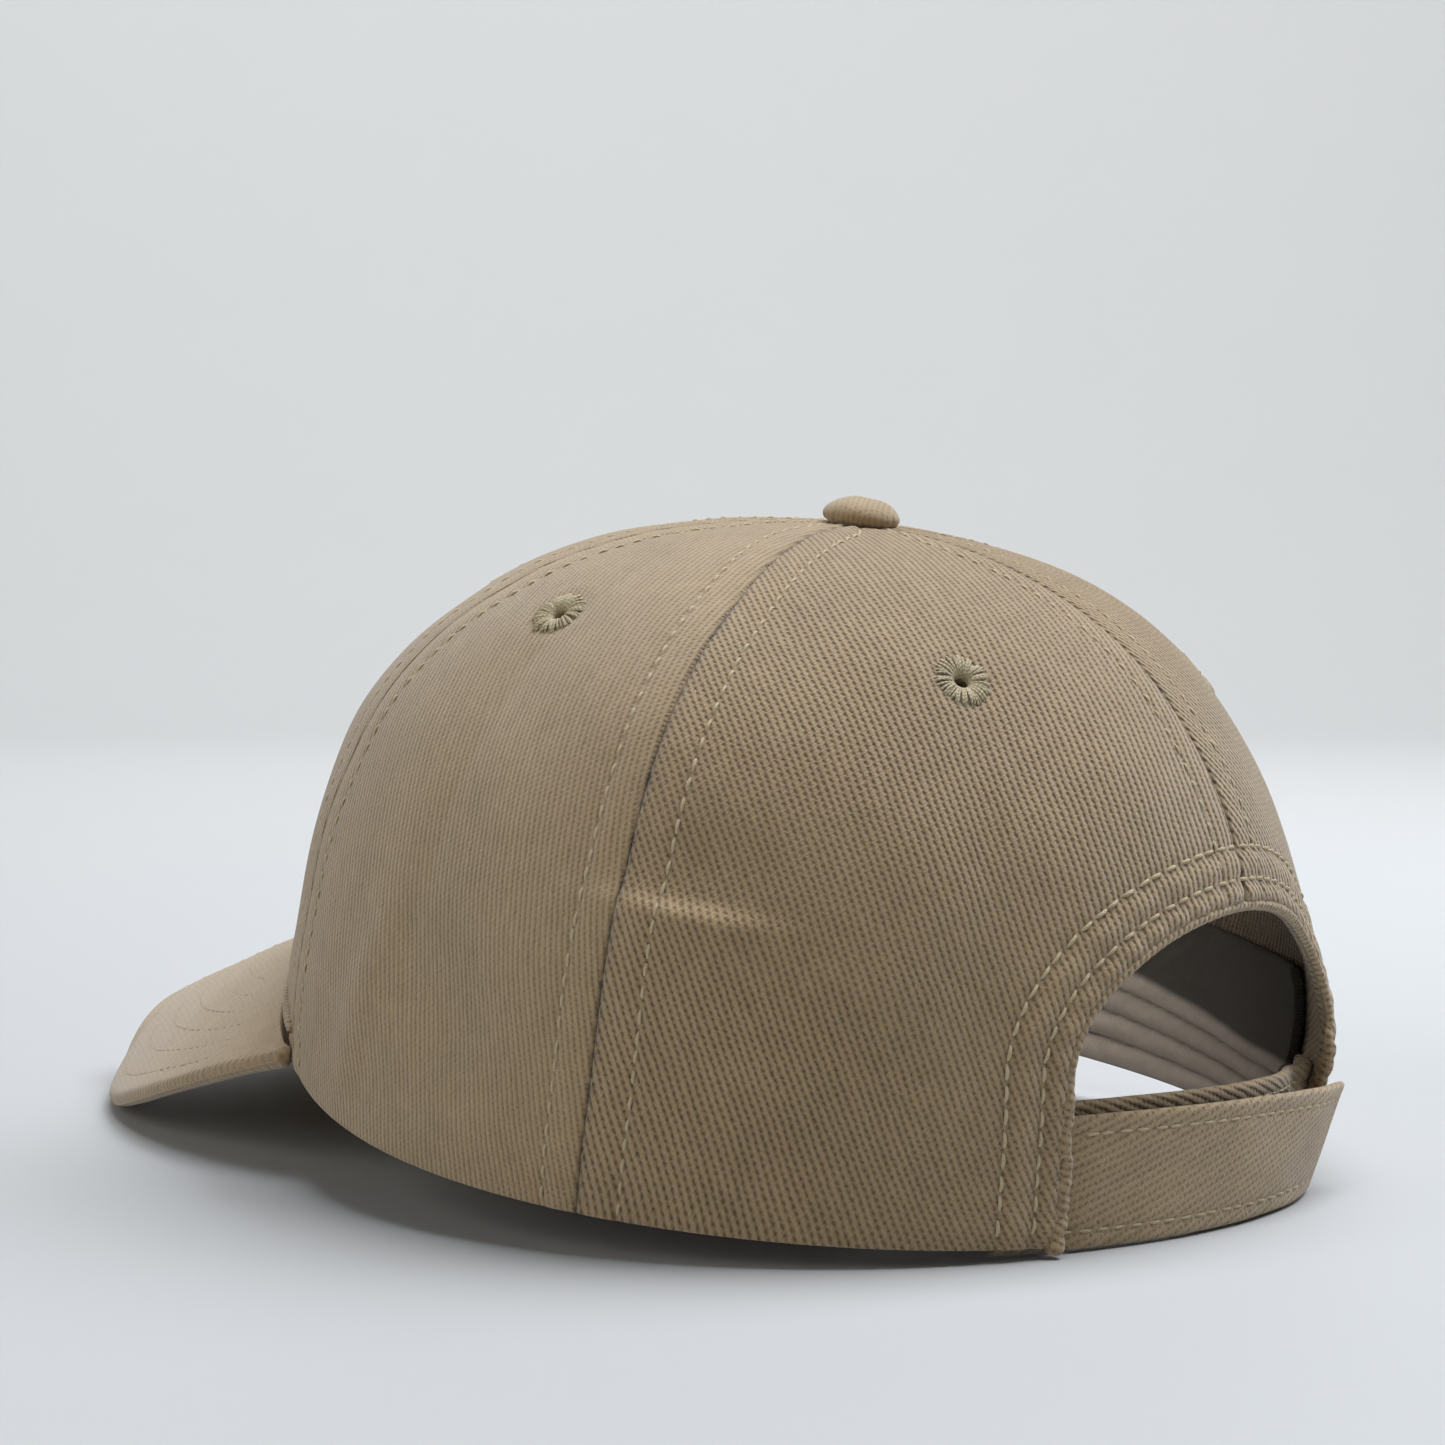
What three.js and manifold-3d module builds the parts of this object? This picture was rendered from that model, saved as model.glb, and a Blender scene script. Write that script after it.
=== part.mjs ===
// Baseball cap with six crown panels, a curved visor and a hook-and-loop back closure.
// Millimetres. +Z is up, the visor points along -Y, the wearer's left is +X, the back opening is at +Y.
// The cap stands on z = 0 on the lower edges of its visor and on the two hems of its back opening.
import * as THREE from 'three';
import { mergeVertices } from 'three/addons/utils/BufferGeometryUtils.js';
import Module from 'manifold-3d';

const wasm = await Module();
wasm.setup();

const degrees = Math.PI / 180;

// Whole cap
const frameShift = 35.8; // moves the crown's own centre back, so that the cap's box is centred on the origin
const gap = 0.3; // air between neighbouring pieces
const layerGap = 0.55; // air between curved layers, whose facets don't line up
const seamGap = 0.2; // half of the air between neighbouring panels

// Crown: a rounded shell that leans back, with its own centre on x = y = 0 before the tilt
const crownHalfLength = 96;
const crownHalfWidth = 89.5;
const crownHeight = 102.8;
const crownTilt = 8 * degrees;
const crownLift = 14.85;
const apexOffset = 0.5; // how far the apex sits behind the centre
const eggWidening = 0.019; // the front half is slightly wider than the back
const backTuck = 3.6; // how far the lower back pulls in
const planSquareness = { front: 2.14, side: 2.28, back: 2.51 };
const profileSquareness = { front: 3.1, back: 2.22 };
const panelPuff = 0.033; // how much the seams stand out over the panels' middles
const rimDrop = -1.15;
const rimSlope = -10.1;
const rimArch = 22; // rise of the front rim into the visor's arch
const frontSeam = 53.6 * degrees; // between front and side panels
const backSeam = 104.2 * degrees; // between side and back panels
const crownTop = 0.985; // panels stop here, short of the apex hole
// The right edge of the opening stands proud of the crown
const rightFlare = { out: 4, x: -43, z: 27, reachX: 18, reachZ: 16 };

// Sewn layers
const fabric = 1;
const liningThickness = 0.6;
const liningSetback = 7; // from a seam to the edge of the front panels' lining
const tapeThickness = 0.7;
const tapeHalfWidth = 5.5;
const tapeEnd = 0.93;
const bandThickness = 1.5;
const bandHeight = 35;
const bandEndX = 52;
const bandStartHeight = 0.6; // the band's lower edge, above the rim
const facingThickness = 0.8;
const firstLayer = fabric + layerGap;
const bandDepth = firstLayer + facingThickness + layerGap;

// Back opening
const opening = { halfWidth: 41.5, archHalfWidth: 40, spring: 28, archRise: 25, hemTop: 33 };
const openingTool = { below: -12, behind: 125, depth: 90, archSteps: 24 }; // the solid that cuts the opening
const facingWidth = 12;
const facingReach = { fromPhi: 115 * degrees, toPhi: 245 * degrees, fromT: 0.004, toT: 0.56 };
const seamTapeClearance = 3; // from the facing up to the back seam's tape
const hem = { inner: 38.2, outer: 41.2, proud: 0.4, depth: 2.2 };
const plumbBelow = 4; // under this height the hems and the straps' ends follow the crown's section at it

// Closure straps: centre lines of their lower and upper edges, and their hinges at the sewn ends
const strapThickness = 1.6;
const tapeClosureThickness = 0.8;
const hingeX = 34;
const rootGap = 4; // from a strap's fold line to its sewn end, along x
const rootDepth = 3;
const rootEndX = 50;
const closureHeight = { from: 0.16, to: 0.84 }; // share of a strap's width that its closure tape covers
const hookLength = { from: 0.36, to: 0.92 }; // share of a strap's length that its closure tape covers
const loopLength = { from: 0.12, to: 0.68 };
const outerStrap = {
  low: [[hingeX, 82, 0.5], [0, 92.2, 0.5], [-30, 88.6, 0.6]],
  high: [[hingeX, 82.8, 21.8], [-2, 94.3, 21], [-40, 90.8, 18.2]],
};
const innerStrap = {
  low: [[-hingeX, 82.6, 1.2], [0, 87, 1.2], [41, 74.5, 1.2]],
  high: [[-hingeX, 83.4, 21], [0, 88.6, 22.6], [41, 75.5, 23.6]],
};

// Eyelets and button
const eyelet = {
  radius: 5.5, hole: 1.4, neck: 2.3, cut: 2.7,
  flange: 0.5, bevel: 0.8, backRadius: 4.5, above: 0.4, behind: 0.5,
};
const eyeletPlace = {
  front: { phi: frontSeam / 2, t: 0.53 },
  side: { phi: 75 * degrees, t: 0.54 },
  back: { phi: 141.3 * degrees, t: 0.555 },
};
const drillLength = 12;
const button = {
  radius: 7.2, height: 4.9, wall: 0.8, base: 0.3, backing: 8, shank: 1.6, shankTop: 1.8, plate: 1, seat: 0.7,
};

// Visor: an arched sheet that bends more towards its front edge
const visor = {
  corner: 0.985, // share of the front seam angle that the visor spans on each side
  halfWidth: 74.2, originY: -57, reach: 109.6, squareness: 1.87,
  centreZ: 38.43, slope: 0.197, droop: -0.0016, centreY: -93.5,
  bendRear: 126.5, bendFront: 27.5, bendFromY: -56, bendLength: 99,
  rise: 0.8, crownGap: 1.3,
};
const board = { half: 0.8, edge: 1.1, span: 0.98 };
const cover = { from: 1.1, to: 1.9, lip: 0.8, split: 0.15, weld: 0.2 };

const khaki = 0xa39580;
const finish = {
  cloth: { color: khaki, roughness: 0.9, metalness: 0 },
  lining: { color: 0x6f6a66, roughness: 0.95, metalness: 0 },
  tape: { color: 0x77706a, roughness: 0.9, metalness: 0 },
  band: { color: 0x8a7f76, roughness: 0.9, metalness: 0 },
  thread: { color: 0x8f8560, roughness: 0.6, metalness: 0 },
  hook: { color: 0x6b6456, roughness: 0.8, metalness: 0 },
  loop: { color: 0x4d4a47, roughness: 0.95, metalness: 0 },
  board: { color: 0xd8d4c8, roughness: 0.6, metalness: 0 },
  metal: { color: 0xb8babc, roughness: 0.4, metalness: 0.9 },
};
const roundSides = 20;
const buttonSides = 28;

const lerp = THREE.MathUtils.lerp;
const clamp = THREE.MathUtils.clamp;

/** The value of `count` + 1 even steps from `from` to `to`. */
function steps(from, to, count) {
  return Array.from({ length: count + 1 }, (_, i) => lerp(from, to, i / count));
}

// ---- crown surface -------------------------------------------------------------------------------

/** Angle stretched so that the six seams fall on whole multiples of 60 degrees. */
function seamAngle(phi) {
  const turn = Math.abs(Math.atan2(Math.sin(phi), Math.cos(phi)));
  const third = Math.PI / 3;
  if (turn < frontSeam) return (turn / frontSeam) * third;
  if (turn < backSeam) return third + ((turn - frontSeam) / (backSeam - frontSeam)) * third;
  return 2 * third + ((turn - backSeam) / (Math.PI - backSeam)) * third;
}

/** Height of the rim in the crown's own frame. phi is 0 at the visor and grows towards +X. */
function rimHeight(phi) {
  const frontness = (1 + Math.cos(phi)) / 2;
  return rimDrop + rimSlope * frontness + rimArch * frontness ** 5;
}

/** A point of the crown's outer face: t is 0 at the rim and 1 at the apex. */
function crown(phi, t) {
  const rise = (t * Math.PI) / 2;
  const cosine = Math.cos(phi);
  const front = Math.max(cosine, 0) ** 2;
  const back = Math.max(-cosine, 0) ** 2;
  const side = 1 - front - back;
  const plan = planSquareness.front * front + planSquareness.back * back + planSquareness.side * side;
  const profile = lerp(profileSquareness.front, profileSquareness.back, back);
  const height = Math.sin(rise) ** (2 / profile);
  const puff = 1 + panelPuff * Math.sin(Math.PI * t) * (Math.abs(Math.cos(3 * seamAngle(phi))) - 0.6);
  const radius = Math.cos(rise) ** (2 / plan) * puff;
  const x = crownHalfWidth * Math.sin(phi) * radius * (1 + eggWidening * cosine);
  const tuck = backTuck * Math.max(-cosine, 0) ** 3 * (1 - height);
  const y = -crownHalfLength * cosine * radius + apexOffset * height - tuck;
  const z = lerp(rimHeight(phi), crownHeight, height);
  const point = new THREE.Vector3(x, y, z).applyAxisAngle(new THREE.Vector3(1, 0, 0), -crownTilt);
  point.z += crownLift;
  if (cosine < 0) {
    const across = (point.x - rightFlare.x) / rightFlare.reachX;
    const up = (point.z - rightFlare.z) / rightFlare.reachZ;
    point.y += rightFlare.out * Math.exp(-across * across - up * up);
  }
  return point;
}

/** Outward normal of the crown. */
function crownNormal(phi, t) {
  const step = 1e-3;
  const up = crown(phi, t + step).sub(crown(phi, Math.max(t - step, 0)));
  const along = crown(phi + step, t).sub(crown(phi - step, t));
  return along.cross(up).normalize();
}

/** A point of the crown at a depth under its outer face. */
function crownAt(phi, t, depth) {
  return crown(phi, t).addScaledVector(crownNormal(phi, t), -depth);
}

/** The crown parameter at a height above the rim. */
function atHeight(phi, height) {
  const back = Math.max(-Math.cos(phi), 0) ** 2;
  const profile = lerp(profileSquareness.front, profileSquareness.back, back);
  const share = height / (crownHeight - rimHeight(phi));
  return (Math.asin(share ** (profile / 2)) * 2) / Math.PI;
}

/** The angle that a distance along the crown spans at that place. */
function spanAngle(phi, t, distance) {
  const point = crown(phi, t);
  const apex = crown(phi, 1);
  return distance / Math.hypot(point.x - apex.x, point.y - apex.y);
}

/** The crown parameters of the back's point at a given x and z, found by Newton steps. */
function backParameters(x, z) {
  let phi = Math.PI - Math.asin(x / crownHalfWidth);
  let t = 0.1;
  const step = 1e-4;
  for (let i = 0; i < 15; i++) {
    const here = crown(phi, t);
    const turned = crown(phi + step, t).sub(here).divideScalar(step);
    const raised = crown(phi, t + step).sub(here).divideScalar(step);
    const [dx, dz] = [x - here.x, z - here.z];
    const scale = turned.x * raised.z - turned.z * raised.x;
    phi += (dx * raised.z - dz * raised.x) / scale;
    t = clamp(t + (dz * turned.x - dx * turned.z) / scale, 0.002, 0.9);
  }
  return [phi, t];
}

// ---- closed solids -------------------------------------------------------------------------------

/** Turns a geometry inside out when its faces point inwards. */
function faceOutwards(geometry) {
  const { array } = geometry.getAttribute('position');
  const index = geometry.getIndex().array;
  const corners = [0, 1, 2].map(() => new THREE.Vector3());
  let volume = 0;
  for (let i = 0; i < index.length; i += 3) {
    corners.forEach((corner, k) => corner.fromArray(array, index[i + k] * 3));
    volume += corners[0].dot(corners[1].clone().cross(corners[2]));
  }
  if (volume < 0) {
    for (let i = 0; i < index.length; i += 3) [index[i], index[i + 1]] = [index[i + 1], index[i]];
  }
  return geometry;
}

/** Closed slab between an outer and an inner grid of points, each a list of rows. */
function slab(outer, inner) {
  const rows = outer.length;
  const columns = outer[0].length;
  const at = (row, column, layer) => layer * rows * columns + row * columns + column;
  const index = [];
  const quad = (a, b, c, d) => index.push(a, b, c, a, c, d);
  for (let r = 0; r < rows - 1; r++) {
    for (let c = 0; c < columns - 1; c++) {
      quad(at(r, c, 0), at(r, c + 1, 0), at(r + 1, c + 1, 0), at(r + 1, c, 0));
      quad(at(r, c, 1), at(r + 1, c, 1), at(r + 1, c + 1, 1), at(r, c + 1, 1));
    }
  }
  const [top, end] = [rows - 1, columns - 1];
  for (let c = 0; c < end; c++) {
    quad(at(0, c + 1, 0), at(0, c, 0), at(0, c, 1), at(0, c + 1, 1));
    quad(at(top, c, 0), at(top, c + 1, 0), at(top, c + 1, 1), at(top, c, 1));
  }
  for (let r = 0; r < top; r++) {
    quad(at(r, 0, 0), at(r + 1, 0, 0), at(r + 1, 0, 1), at(r, 0, 1));
    quad(at(r + 1, end, 0), at(r, end, 0), at(r, end, 1), at(r + 1, end, 1));
  }
  const geometry = new THREE.BufferGeometry().setFromPoints([...outer.flat(), ...inner.flat()]);
  geometry.setIndex(index);
  return faceOutwards(geometry);
}

/** A slab whose grids come from a function of row, column and layer depth. */
function layer(rows, columns, point, from, to) {
  const grid = (depth) => rows.map((row) => columns.map((column) => point(row, column, depth)));
  return slab(grid(from), grid(to));
}

function toSolid(geometry) {
  const bare = geometry.clone();
  bare.deleteAttribute('normal');
  bare.deleteAttribute('uv');
  const merged = mergeVertices(bare, 1e-4);
  const vertProperties = new Float32Array(merged.getAttribute('position').array);
  const triVerts = new Uint32Array(merged.getIndex().array);
  return new wasm.Manifold(new wasm.Mesh({ numProp: 3, vertProperties, triVerts }));
}

function toGeometry(solid) {
  const mesh = solid.getMesh();
  const geometry = new THREE.BufferGeometry();
  geometry.setAttribute('position', new THREE.BufferAttribute(mesh.vertProperties, 3));
  geometry.setIndex(new THREE.BufferAttribute(mesh.triVerts, 1));
  return geometry;
}

function subtract(geometry, ...cutters) {
  const solid = cutters.reduce((left, cutter) => left.subtract(toSolid(cutter)), toSolid(geometry));
  return toGeometry(solid);
}

const group = new THREE.Group();
group.position.y = frameShift;

/** Adds one named piece to the cap. */
function piece(name, geometry, look = finish.cloth) {
  geometry.computeVertexNormals();
  const material = new THREE.MeshStandardMaterial(look);
  const mesh = new THREE.Mesh(geometry, material);
  mesh.name = name;
  group.add(mesh);
  return mesh;
}

// ---- eyelets -------------------------------------------------------------------------------------

/** Places a geometry made along +Z so that it stands on the crown's outer face. */
function standOnCrown(geometry, phi, t) {
  const turn = new THREE.Quaternion().setFromUnitVectors(new THREE.Vector3(0, 0, 1), crownNormal(phi, t));
  const place = new THREE.Matrix4().compose(crown(phi, t), turn, new THREE.Vector3(1, 1, 1));
  return geometry.applyMatrix4(place);
}

/** A profile of [radius, height] points turned about +Z. */
function turned(profile, sides) {
  const points = [...profile, profile[0]].map(([r, z]) => new THREE.Vector2(r, z));
  const geometry = new THREE.LatheGeometry(points, sides).rotateX(Math.PI / 2);
  geometry.deleteAttribute('normal');
  geometry.deleteAttribute('uv');
  return faceOutwards(mergeVertices(geometry, 1e-4));
}

/** A spool of embroidery thread round a hole: an outer flange, a neck and a smaller inner flange. */
function eyeletSpool(depth) {
  const { radius, hole, neck, flange, bevel, backRadius, above } = eyelet;
  return turned([
    [hole, -depth - flange], [backRadius, -depth - flange], [backRadius, -depth], [neck, -depth],
    [neck, above], [radius, above], [radius, above + flange / 2],
    [radius - bevel, above + flange], [hole, above + flange],
  ], roundSides);
}

function eyeletCutter(phi, t) {
  const drill = new THREE.CylinderGeometry(eyelet.cut, eyelet.cut, drillLength, roundSides);
  return standOnCrown(drill.rotateX(Math.PI / 2), phi, t);
}

// ---- back opening --------------------------------------------------------------------------------

/** Outline of the opening in the x-z plane, with room for the hems, grown outwards by `grow`. */
function openingPrism(grow) {
  const shape = new THREE.Shape();
  const side = opening.halfWidth + grow;
  const rise = opening.archRise + grow;
  const archHalf = opening.archHalfWidth + grow;
  const start = Math.asin((opening.hemTop - opening.spring) / rise);
  shape.moveTo(side, openingTool.below);
  shape.lineTo(side, opening.hemTop);
  for (const turn of steps(start, Math.PI - start, openingTool.archSteps)) {
    shape.lineTo(archHalf * Math.cos(turn), opening.spring + rise * Math.sin(turn));
  }
  shape.lineTo(-side, opening.hemTop);
  shape.lineTo(-side, openingTool.below);
  const solid = new THREE.ExtrudeGeometry(shape, { depth: openingTool.depth, bevelEnabled: false });
  return solid.rotateX(Math.PI / 2).translate(0, openingTool.behind, 0);
}

// ---- crown panels --------------------------------------------------------------------------------

/** The wedge of the crown between two seams, at a depth range, set back from both seams. */
function wedge(fromPhi, toPhi, heights, columns, setBack, depths) {
  const point = (t, share, depth) => {
    const start = fromPhi + spanAngle(fromPhi, t, setBack);
    const end = toPhi - spanAngle(toPhi, t, setBack);
    return crownAt(lerp(start, end, share), t, depth);
  };
  return layer(heights, steps(0, 1, columns), point, depths[0], depths[1]);
}

const panelRows = [
  0, 0.02, 0.05, 0.09, 0.14, 0.2, 0.27, 0.34, 0.41, 0.48, 0.55, 0.62, 0.69, 0.76, 0.83, 0.89, 0.94, crownTop,
];
const liningRows = [0.02, 0.06, 0.12, 0.2, 0.28, 0.36, 0.44, 0.52, 0.6, 0.68, 0.75, 0.8];
const panels = [
  { name: 'front', from: 0, to: frontSeam, columns: 10 },
  { name: 'side', from: frontSeam, to: backSeam, columns: 10 },
  { name: 'back', from: backSeam, to: Math.PI, columns: 16 },
];
const sides = [{ name: 'left', sign: 1 }, { name: 'right', sign: -1 }];

function addPanels() {
  for (const { name, from, to, columns } of panels) {
    const { phi, t } = eyeletPlace[name];
    for (const side of sides) {
      const [low, high] = [from * side.sign, to * side.sign].sort((a, b) => a - b);
      const cutters = [eyeletCutter(phi * side.sign, t)];
      if (name === 'back') cutters.push(openingPrism(0));
      const whole = wedge(low, high, panelRows, columns, seamGap, [0, fabric]);
      piece(`${name}_panel_${side.name}`, subtract(whole, ...cutters));
    }
  }
}

function addBuckram() {
  const depths = [firstLayer, firstLayer + liningThickness];
  const { phi, t } = eyeletPlace.front;
  for (const { name, sign } of sides) {
    const [low, high] = [0, frontSeam * sign].sort((a, b) => a - b);
    const sheet = wedge(low, high, liningRows, 8, liningSetback, depths);
    piece(`buckram_${name}`, subtract(sheet, eyeletCutter(phi * sign, t)), finish.lining);
  }
}

function addEyelets() {
  for (const { name } of panels) {
    const { phi, t } = eyeletPlace[name];
    const depth = (name === 'front' ? firstLayer + liningThickness : fabric) + eyelet.behind;
    for (const side of sides) {
      const spool = standOnCrown(eyeletSpool(depth), phi * side.sign, t);
      piece(`eyelet_${name}_${side.name}`, spool, finish.thread);
    }
  }
}

// ---- seam tapes, sweatband, facing and hems ------------------------------------------------------

/** A strip on the inside of the crown that covers one seam. */
function seamTape(phi, fromT) {
  const point = (t, offset, depth) => crownAt(phi + spanAngle(phi, t, offset), t, depth);
  const across = steps(-tapeHalfWidth, tapeHalfWidth, 2);
  const depths = [firstLayer, firstLayer + tapeThickness];
  return layer(steps(fromT, tapeEnd, 12), across, point, depths[0], depths[1]);
}

function addSeamTapes() {
  const rimStart = 0.02;
  const facingTop = opening.spring + opening.archRise + facingWidth;
  const aboveFacing = atHeight(Math.PI, facingTop + seamTapeClearance);
  piece('seam_tape_front', seamTape(0, rimStart), finish.tape);
  piece('seam_tape_back', seamTape(Math.PI, aboveFacing), finish.tape);
  for (const { name, sign } of sides) {
    piece(`seam_tape_front_side_${name}`, seamTape(frontSeam * sign, rimStart), finish.tape);
    piece(`seam_tape_back_side_${name}`, seamTape(backSeam * sign, rimStart), finish.tape);
  }
}

function addSweatband() {
  const [endPhi] = backParameters(bandEndX, 15);
  const point = (height, phi, depth) => crownAt(phi, atHeight(phi, height), depth);
  const heights = steps(bandStartHeight, bandHeight, 3);
  const band = layer(heights, steps(-endPhi, endPhi, 44), point, bandDepth, bandDepth + bandThickness);
  piece('sweatband', band, finish.band);
}

/** The band of fabric that lines the edge of the back opening on the inside. */
function addOpeningFacing() {
  const point = (t, phi, depth) => crownAt(phi, t, depth);
  const rows = steps(facingReach.fromT, facingReach.toT, 22);
  const columns = steps(facingReach.fromPhi, facingReach.toPhi, 36);
  const shell = layer(rows, columns, point, firstLayer, firstLayer + facingThickness);
  const band = toSolid(shell).intersect(toSolid(openingPrism(facingWidth)));
  piece('opening_facing', toGeometry(band.subtract(toSolid(openingPrism(0)))));
}

/** A point beside the opening at a height, |x| and depth, on the side that `sign` names. */
function besideOpening(sign, height, x, depth) {
  const [phi, t] = backParameters(x * sign, Math.max(height, plumbBelow));
  const place = crownAt(phi, t, depth);
  place.z = height;
  return place;
}

/** The rolled hem on one upright edge of the opening. Its flat foot stands on z = 0. */
function addHem(name, sign) {
  const point = (height, x, depth) => besideOpening(sign, height, x, depth);
  const columns = steps(hem.inner, hem.outer, 2);
  const rolled = layer(steps(0, opening.hemTop - gap, 8), columns, point, -hem.proud, hem.depth);
  piece(`opening_hem_${name}`, rolled);
}

// ---- closure straps ------------------------------------------------------------------------------

/** The smooth curve through a start, a middle and an end point. */
function through([start, middle, end]) {
  const [a, m, b] = [start, middle, end].map((point) => new THREE.Vector3(...point));
  const control = m.clone().multiplyScalar(2).addScaledVector(a, -0.5).addScaledVector(b, -0.5);
  return new THREE.QuadraticBezierCurve3(a, control, b);
}

/** A slab that runs between a strap's two edge curves; depth 0 is the strap's middle. */
function strapLayer(strap, along, up, from, to) {
  const low = through(strap.low);
  const high = through(strap.high);
  const point = (height, share, depth) => {
    const tangent = low.getTangent(share).lerp(high.getTangent(share), height);
    const outward = new THREE.Vector3(-tangent.y, tangent.x, 0).normalize();
    if (outward.y < 0) outward.negate();
    const place = low.getPoint(share).lerp(high.getPoint(share), height);
    return place.addScaledVector(outward, -depth);
  };
  return layer(up, along, point, from, to);
}

/** The sewn end of a strap, under the panel beside the opening. */
function strapRoot(sign, low, high) {
  const point = (height, x, depth) => besideOpening(sign, height, x, depth);
  const columns = steps(hingeX + rootGap, rootEndX, 4);
  return layer(steps(low, high, 3), columns, point, rootDepth, rootDepth + strapThickness);
}

function addStraps() {
  const half = strapThickness / 2;
  const tapeFrom = half + gap;
  const tapeTo = tapeFrom + tapeClosureThickness;
  const whole = steps(0, 1, 14);
  const up = steps(0, 1, 3);
  const tapeUp = steps(closureHeight.from, closureHeight.to, 2);
  const hookAlong = steps(hookLength.from, hookLength.to, 8);
  const loopAlong = steps(loopLength.from, loopLength.to, 8);
  piece('outer_strap', strapLayer(outerStrap, whole, up, -half, half));
  piece('outer_strap_root', strapRoot(1, outerStrap.low[0][2], outerStrap.high[0][2]));
  piece('hook_tape', strapLayer(outerStrap, hookAlong, tapeUp, tapeFrom, tapeTo), finish.hook);
  piece('inner_strap', strapLayer(innerStrap, whole, up, -half, half));
  piece('inner_strap_root', strapRoot(-1, innerStrap.low[0][2], innerStrap.high[0][2]));
  piece('loop_tape', strapLayer(innerStrap, loopAlong, tapeUp, -tapeTo, -tapeFrom), finish.loop);
}

// ---- visor ---------------------------------------------------------------------------------------

/** Height of the visor's middle surface. */
function visorHeight(x, y) {
  const forward = y - visor.centreY;
  const bend = clamp((visor.bendFromY - y) / visor.bendLength, 0, 1);
  const radius = lerp(visor.bendRear, visor.bendFront, bend);
  return visor.centreZ + visor.slope * forward + visor.droop * forward * forward - (x * x) / (2 * radius);
}

/** The visor's inner and outer edge points across it, u from -1 to 1. */
function visorEdges(u) {
  const phi = u * visor.corner * frontSeam;
  const rim = crown(phi, 0);
  const normal = crownNormal(phi, 0.004).setZ(0).normalize();
  const inner = rim.clone().addScaledVector(normal, visor.crownGap);
  inner.z = rim.z + visor.rise;
  const turn = (u * visor.corner * Math.PI) / 2;
  const power = 2 / visor.squareness;
  const x = visor.halfWidth * Math.sign(turn) * Math.abs(Math.sin(turn)) ** power;
  const outer = new THREE.Vector3(x, visor.originY - visor.reach * Math.cos(turn) ** power, 0);
  return { inner, outer };
}

/** A point of the visor's middle surface, v from 0 at the crown to 1 at the front edge. */
function visorMiddle(u, v) {
  const { inner, outer } = visorEdges(u);
  const place = inner.clone().lerp(outer, v);
  const fade = (1 - v) ** 3;
  place.z = visorHeight(place.x, place.y) + (inner.z - visorHeight(inner.x, inner.y)) * fade;
  return place;
}

/** A point of the visor at a height over its middle surface. */
function visorAt(u, v, height) {
  const step = 1e-3;
  const across = visorMiddle(u + step, v).sub(visorMiddle(u - step, v));
  const forward = visorMiddle(u, v + step).sub(visorMiddle(u, v - step));
  const normal = forward.cross(across).normalize();
  if (normal.z < 0) normal.negate();
  return visorMiddle(u, v).addScaledVector(normal, height);
}

/** A visor layer over u in [-1, 1] that stops short of the front edge by `setBack`. */
function visorLayer(setBack, startBack, span, rows, from, to) {
  const point = (row, u, height) => {
    const { inner, outer } = visorEdges(u);
    const length = Math.hypot(outer.x - inner.x, outer.y - inner.y);
    const end = 1 - setBack / length;
    const start = startBack === null ? 0 : 1 - startBack / length;
    return visorAt(u, lerp(start, end, row), height);
  };
  const across = steps(-1, 1, 28).map((u) => span * Math.sin((u * Math.PI) / 2));
  return layer(steps(0, 1, rows), across, point, from, to);
}

function addVisor() {
  piece('visor_board', visorLayer(board.edge, null, board.span, 7, -board.half, board.half), finish.board);
  const covers = [{ name: 'visor_top_cover', sign: 1 }, { name: 'visor_bottom_cover', sign: -1 }];
  for (const { name, sign } of covers) {
    const sheet = visorLayer(0, null, 1, 7, cover.from * sign, cover.to * sign);
    const lip = visorLayer(0, cover.lip, 1, 1, cover.split * sign, (cover.from + cover.weld) * sign);
    piece(name, toGeometry(toSolid(sheet).add(toSolid(lip))));
  }
}

// ---- button --------------------------------------------------------------------------------------

/** Stands a geometry made along +Z on the apex. */
function atApex(geometry) {
  geometry.translate(0, apexOffset, crownHeight).rotateX(-crownTilt).translate(0, 0, crownLift);
  return geometry;
}

/** A dome profile from the axis to its edge. */
function domeProfile(radius, height, base) {
  return steps(0, Math.PI / 2, 7).map((turn) => [radius * Math.sin(turn), base + height * Math.cos(turn)]);
}

function addButton() {
  const { radius, height, wall, base, shank, shankTop, plate, seat, backing } = button;
  const outside = domeProfile(radius, height, base);
  const lining = domeProfile(radius - wall, height - wall, base).reverse();
  piece('button_cover', atApex(turned([...outside, ...lining], buttonSides)));
  const shellOut = domeProfile(radius - wall - gap, height - wall - gap, base);
  const shellIn = domeProfile(radius - 2 * wall - gap, height - 2 * wall - gap, base).reverse();
  piece('button_shell', atApex(turned([...shellOut, ...shellIn], buttonSides)), finish.metal);
  const under = -(fabric + seat);
  const rivet = turned([
    [0, shankTop], [shank, shankTop - gap], [shank, under], [backing, under],
    [backing, under - plate], [0, under - plate],
  ], buttonSides);
  piece('button_backing', atApex(rivet), finish.metal);
}

addPanels();
addBuckram();
addEyelets();
addSeamTapes();
addSweatband();
addOpeningFacing();
for (const { name, sign } of sides) addHem(name, sign);
addStraps();
addVisor();
addButton();

export default group;
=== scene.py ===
"""Looks of the baseball cap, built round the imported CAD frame.

The cloth surfaces repeat the crown, strap and visor formulas of the CAD part in millimetres and are turned
into metres when each mesh is made. +Z is up, the visor points along -Y and the wearer's left is +X.
"""

import math

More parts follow.
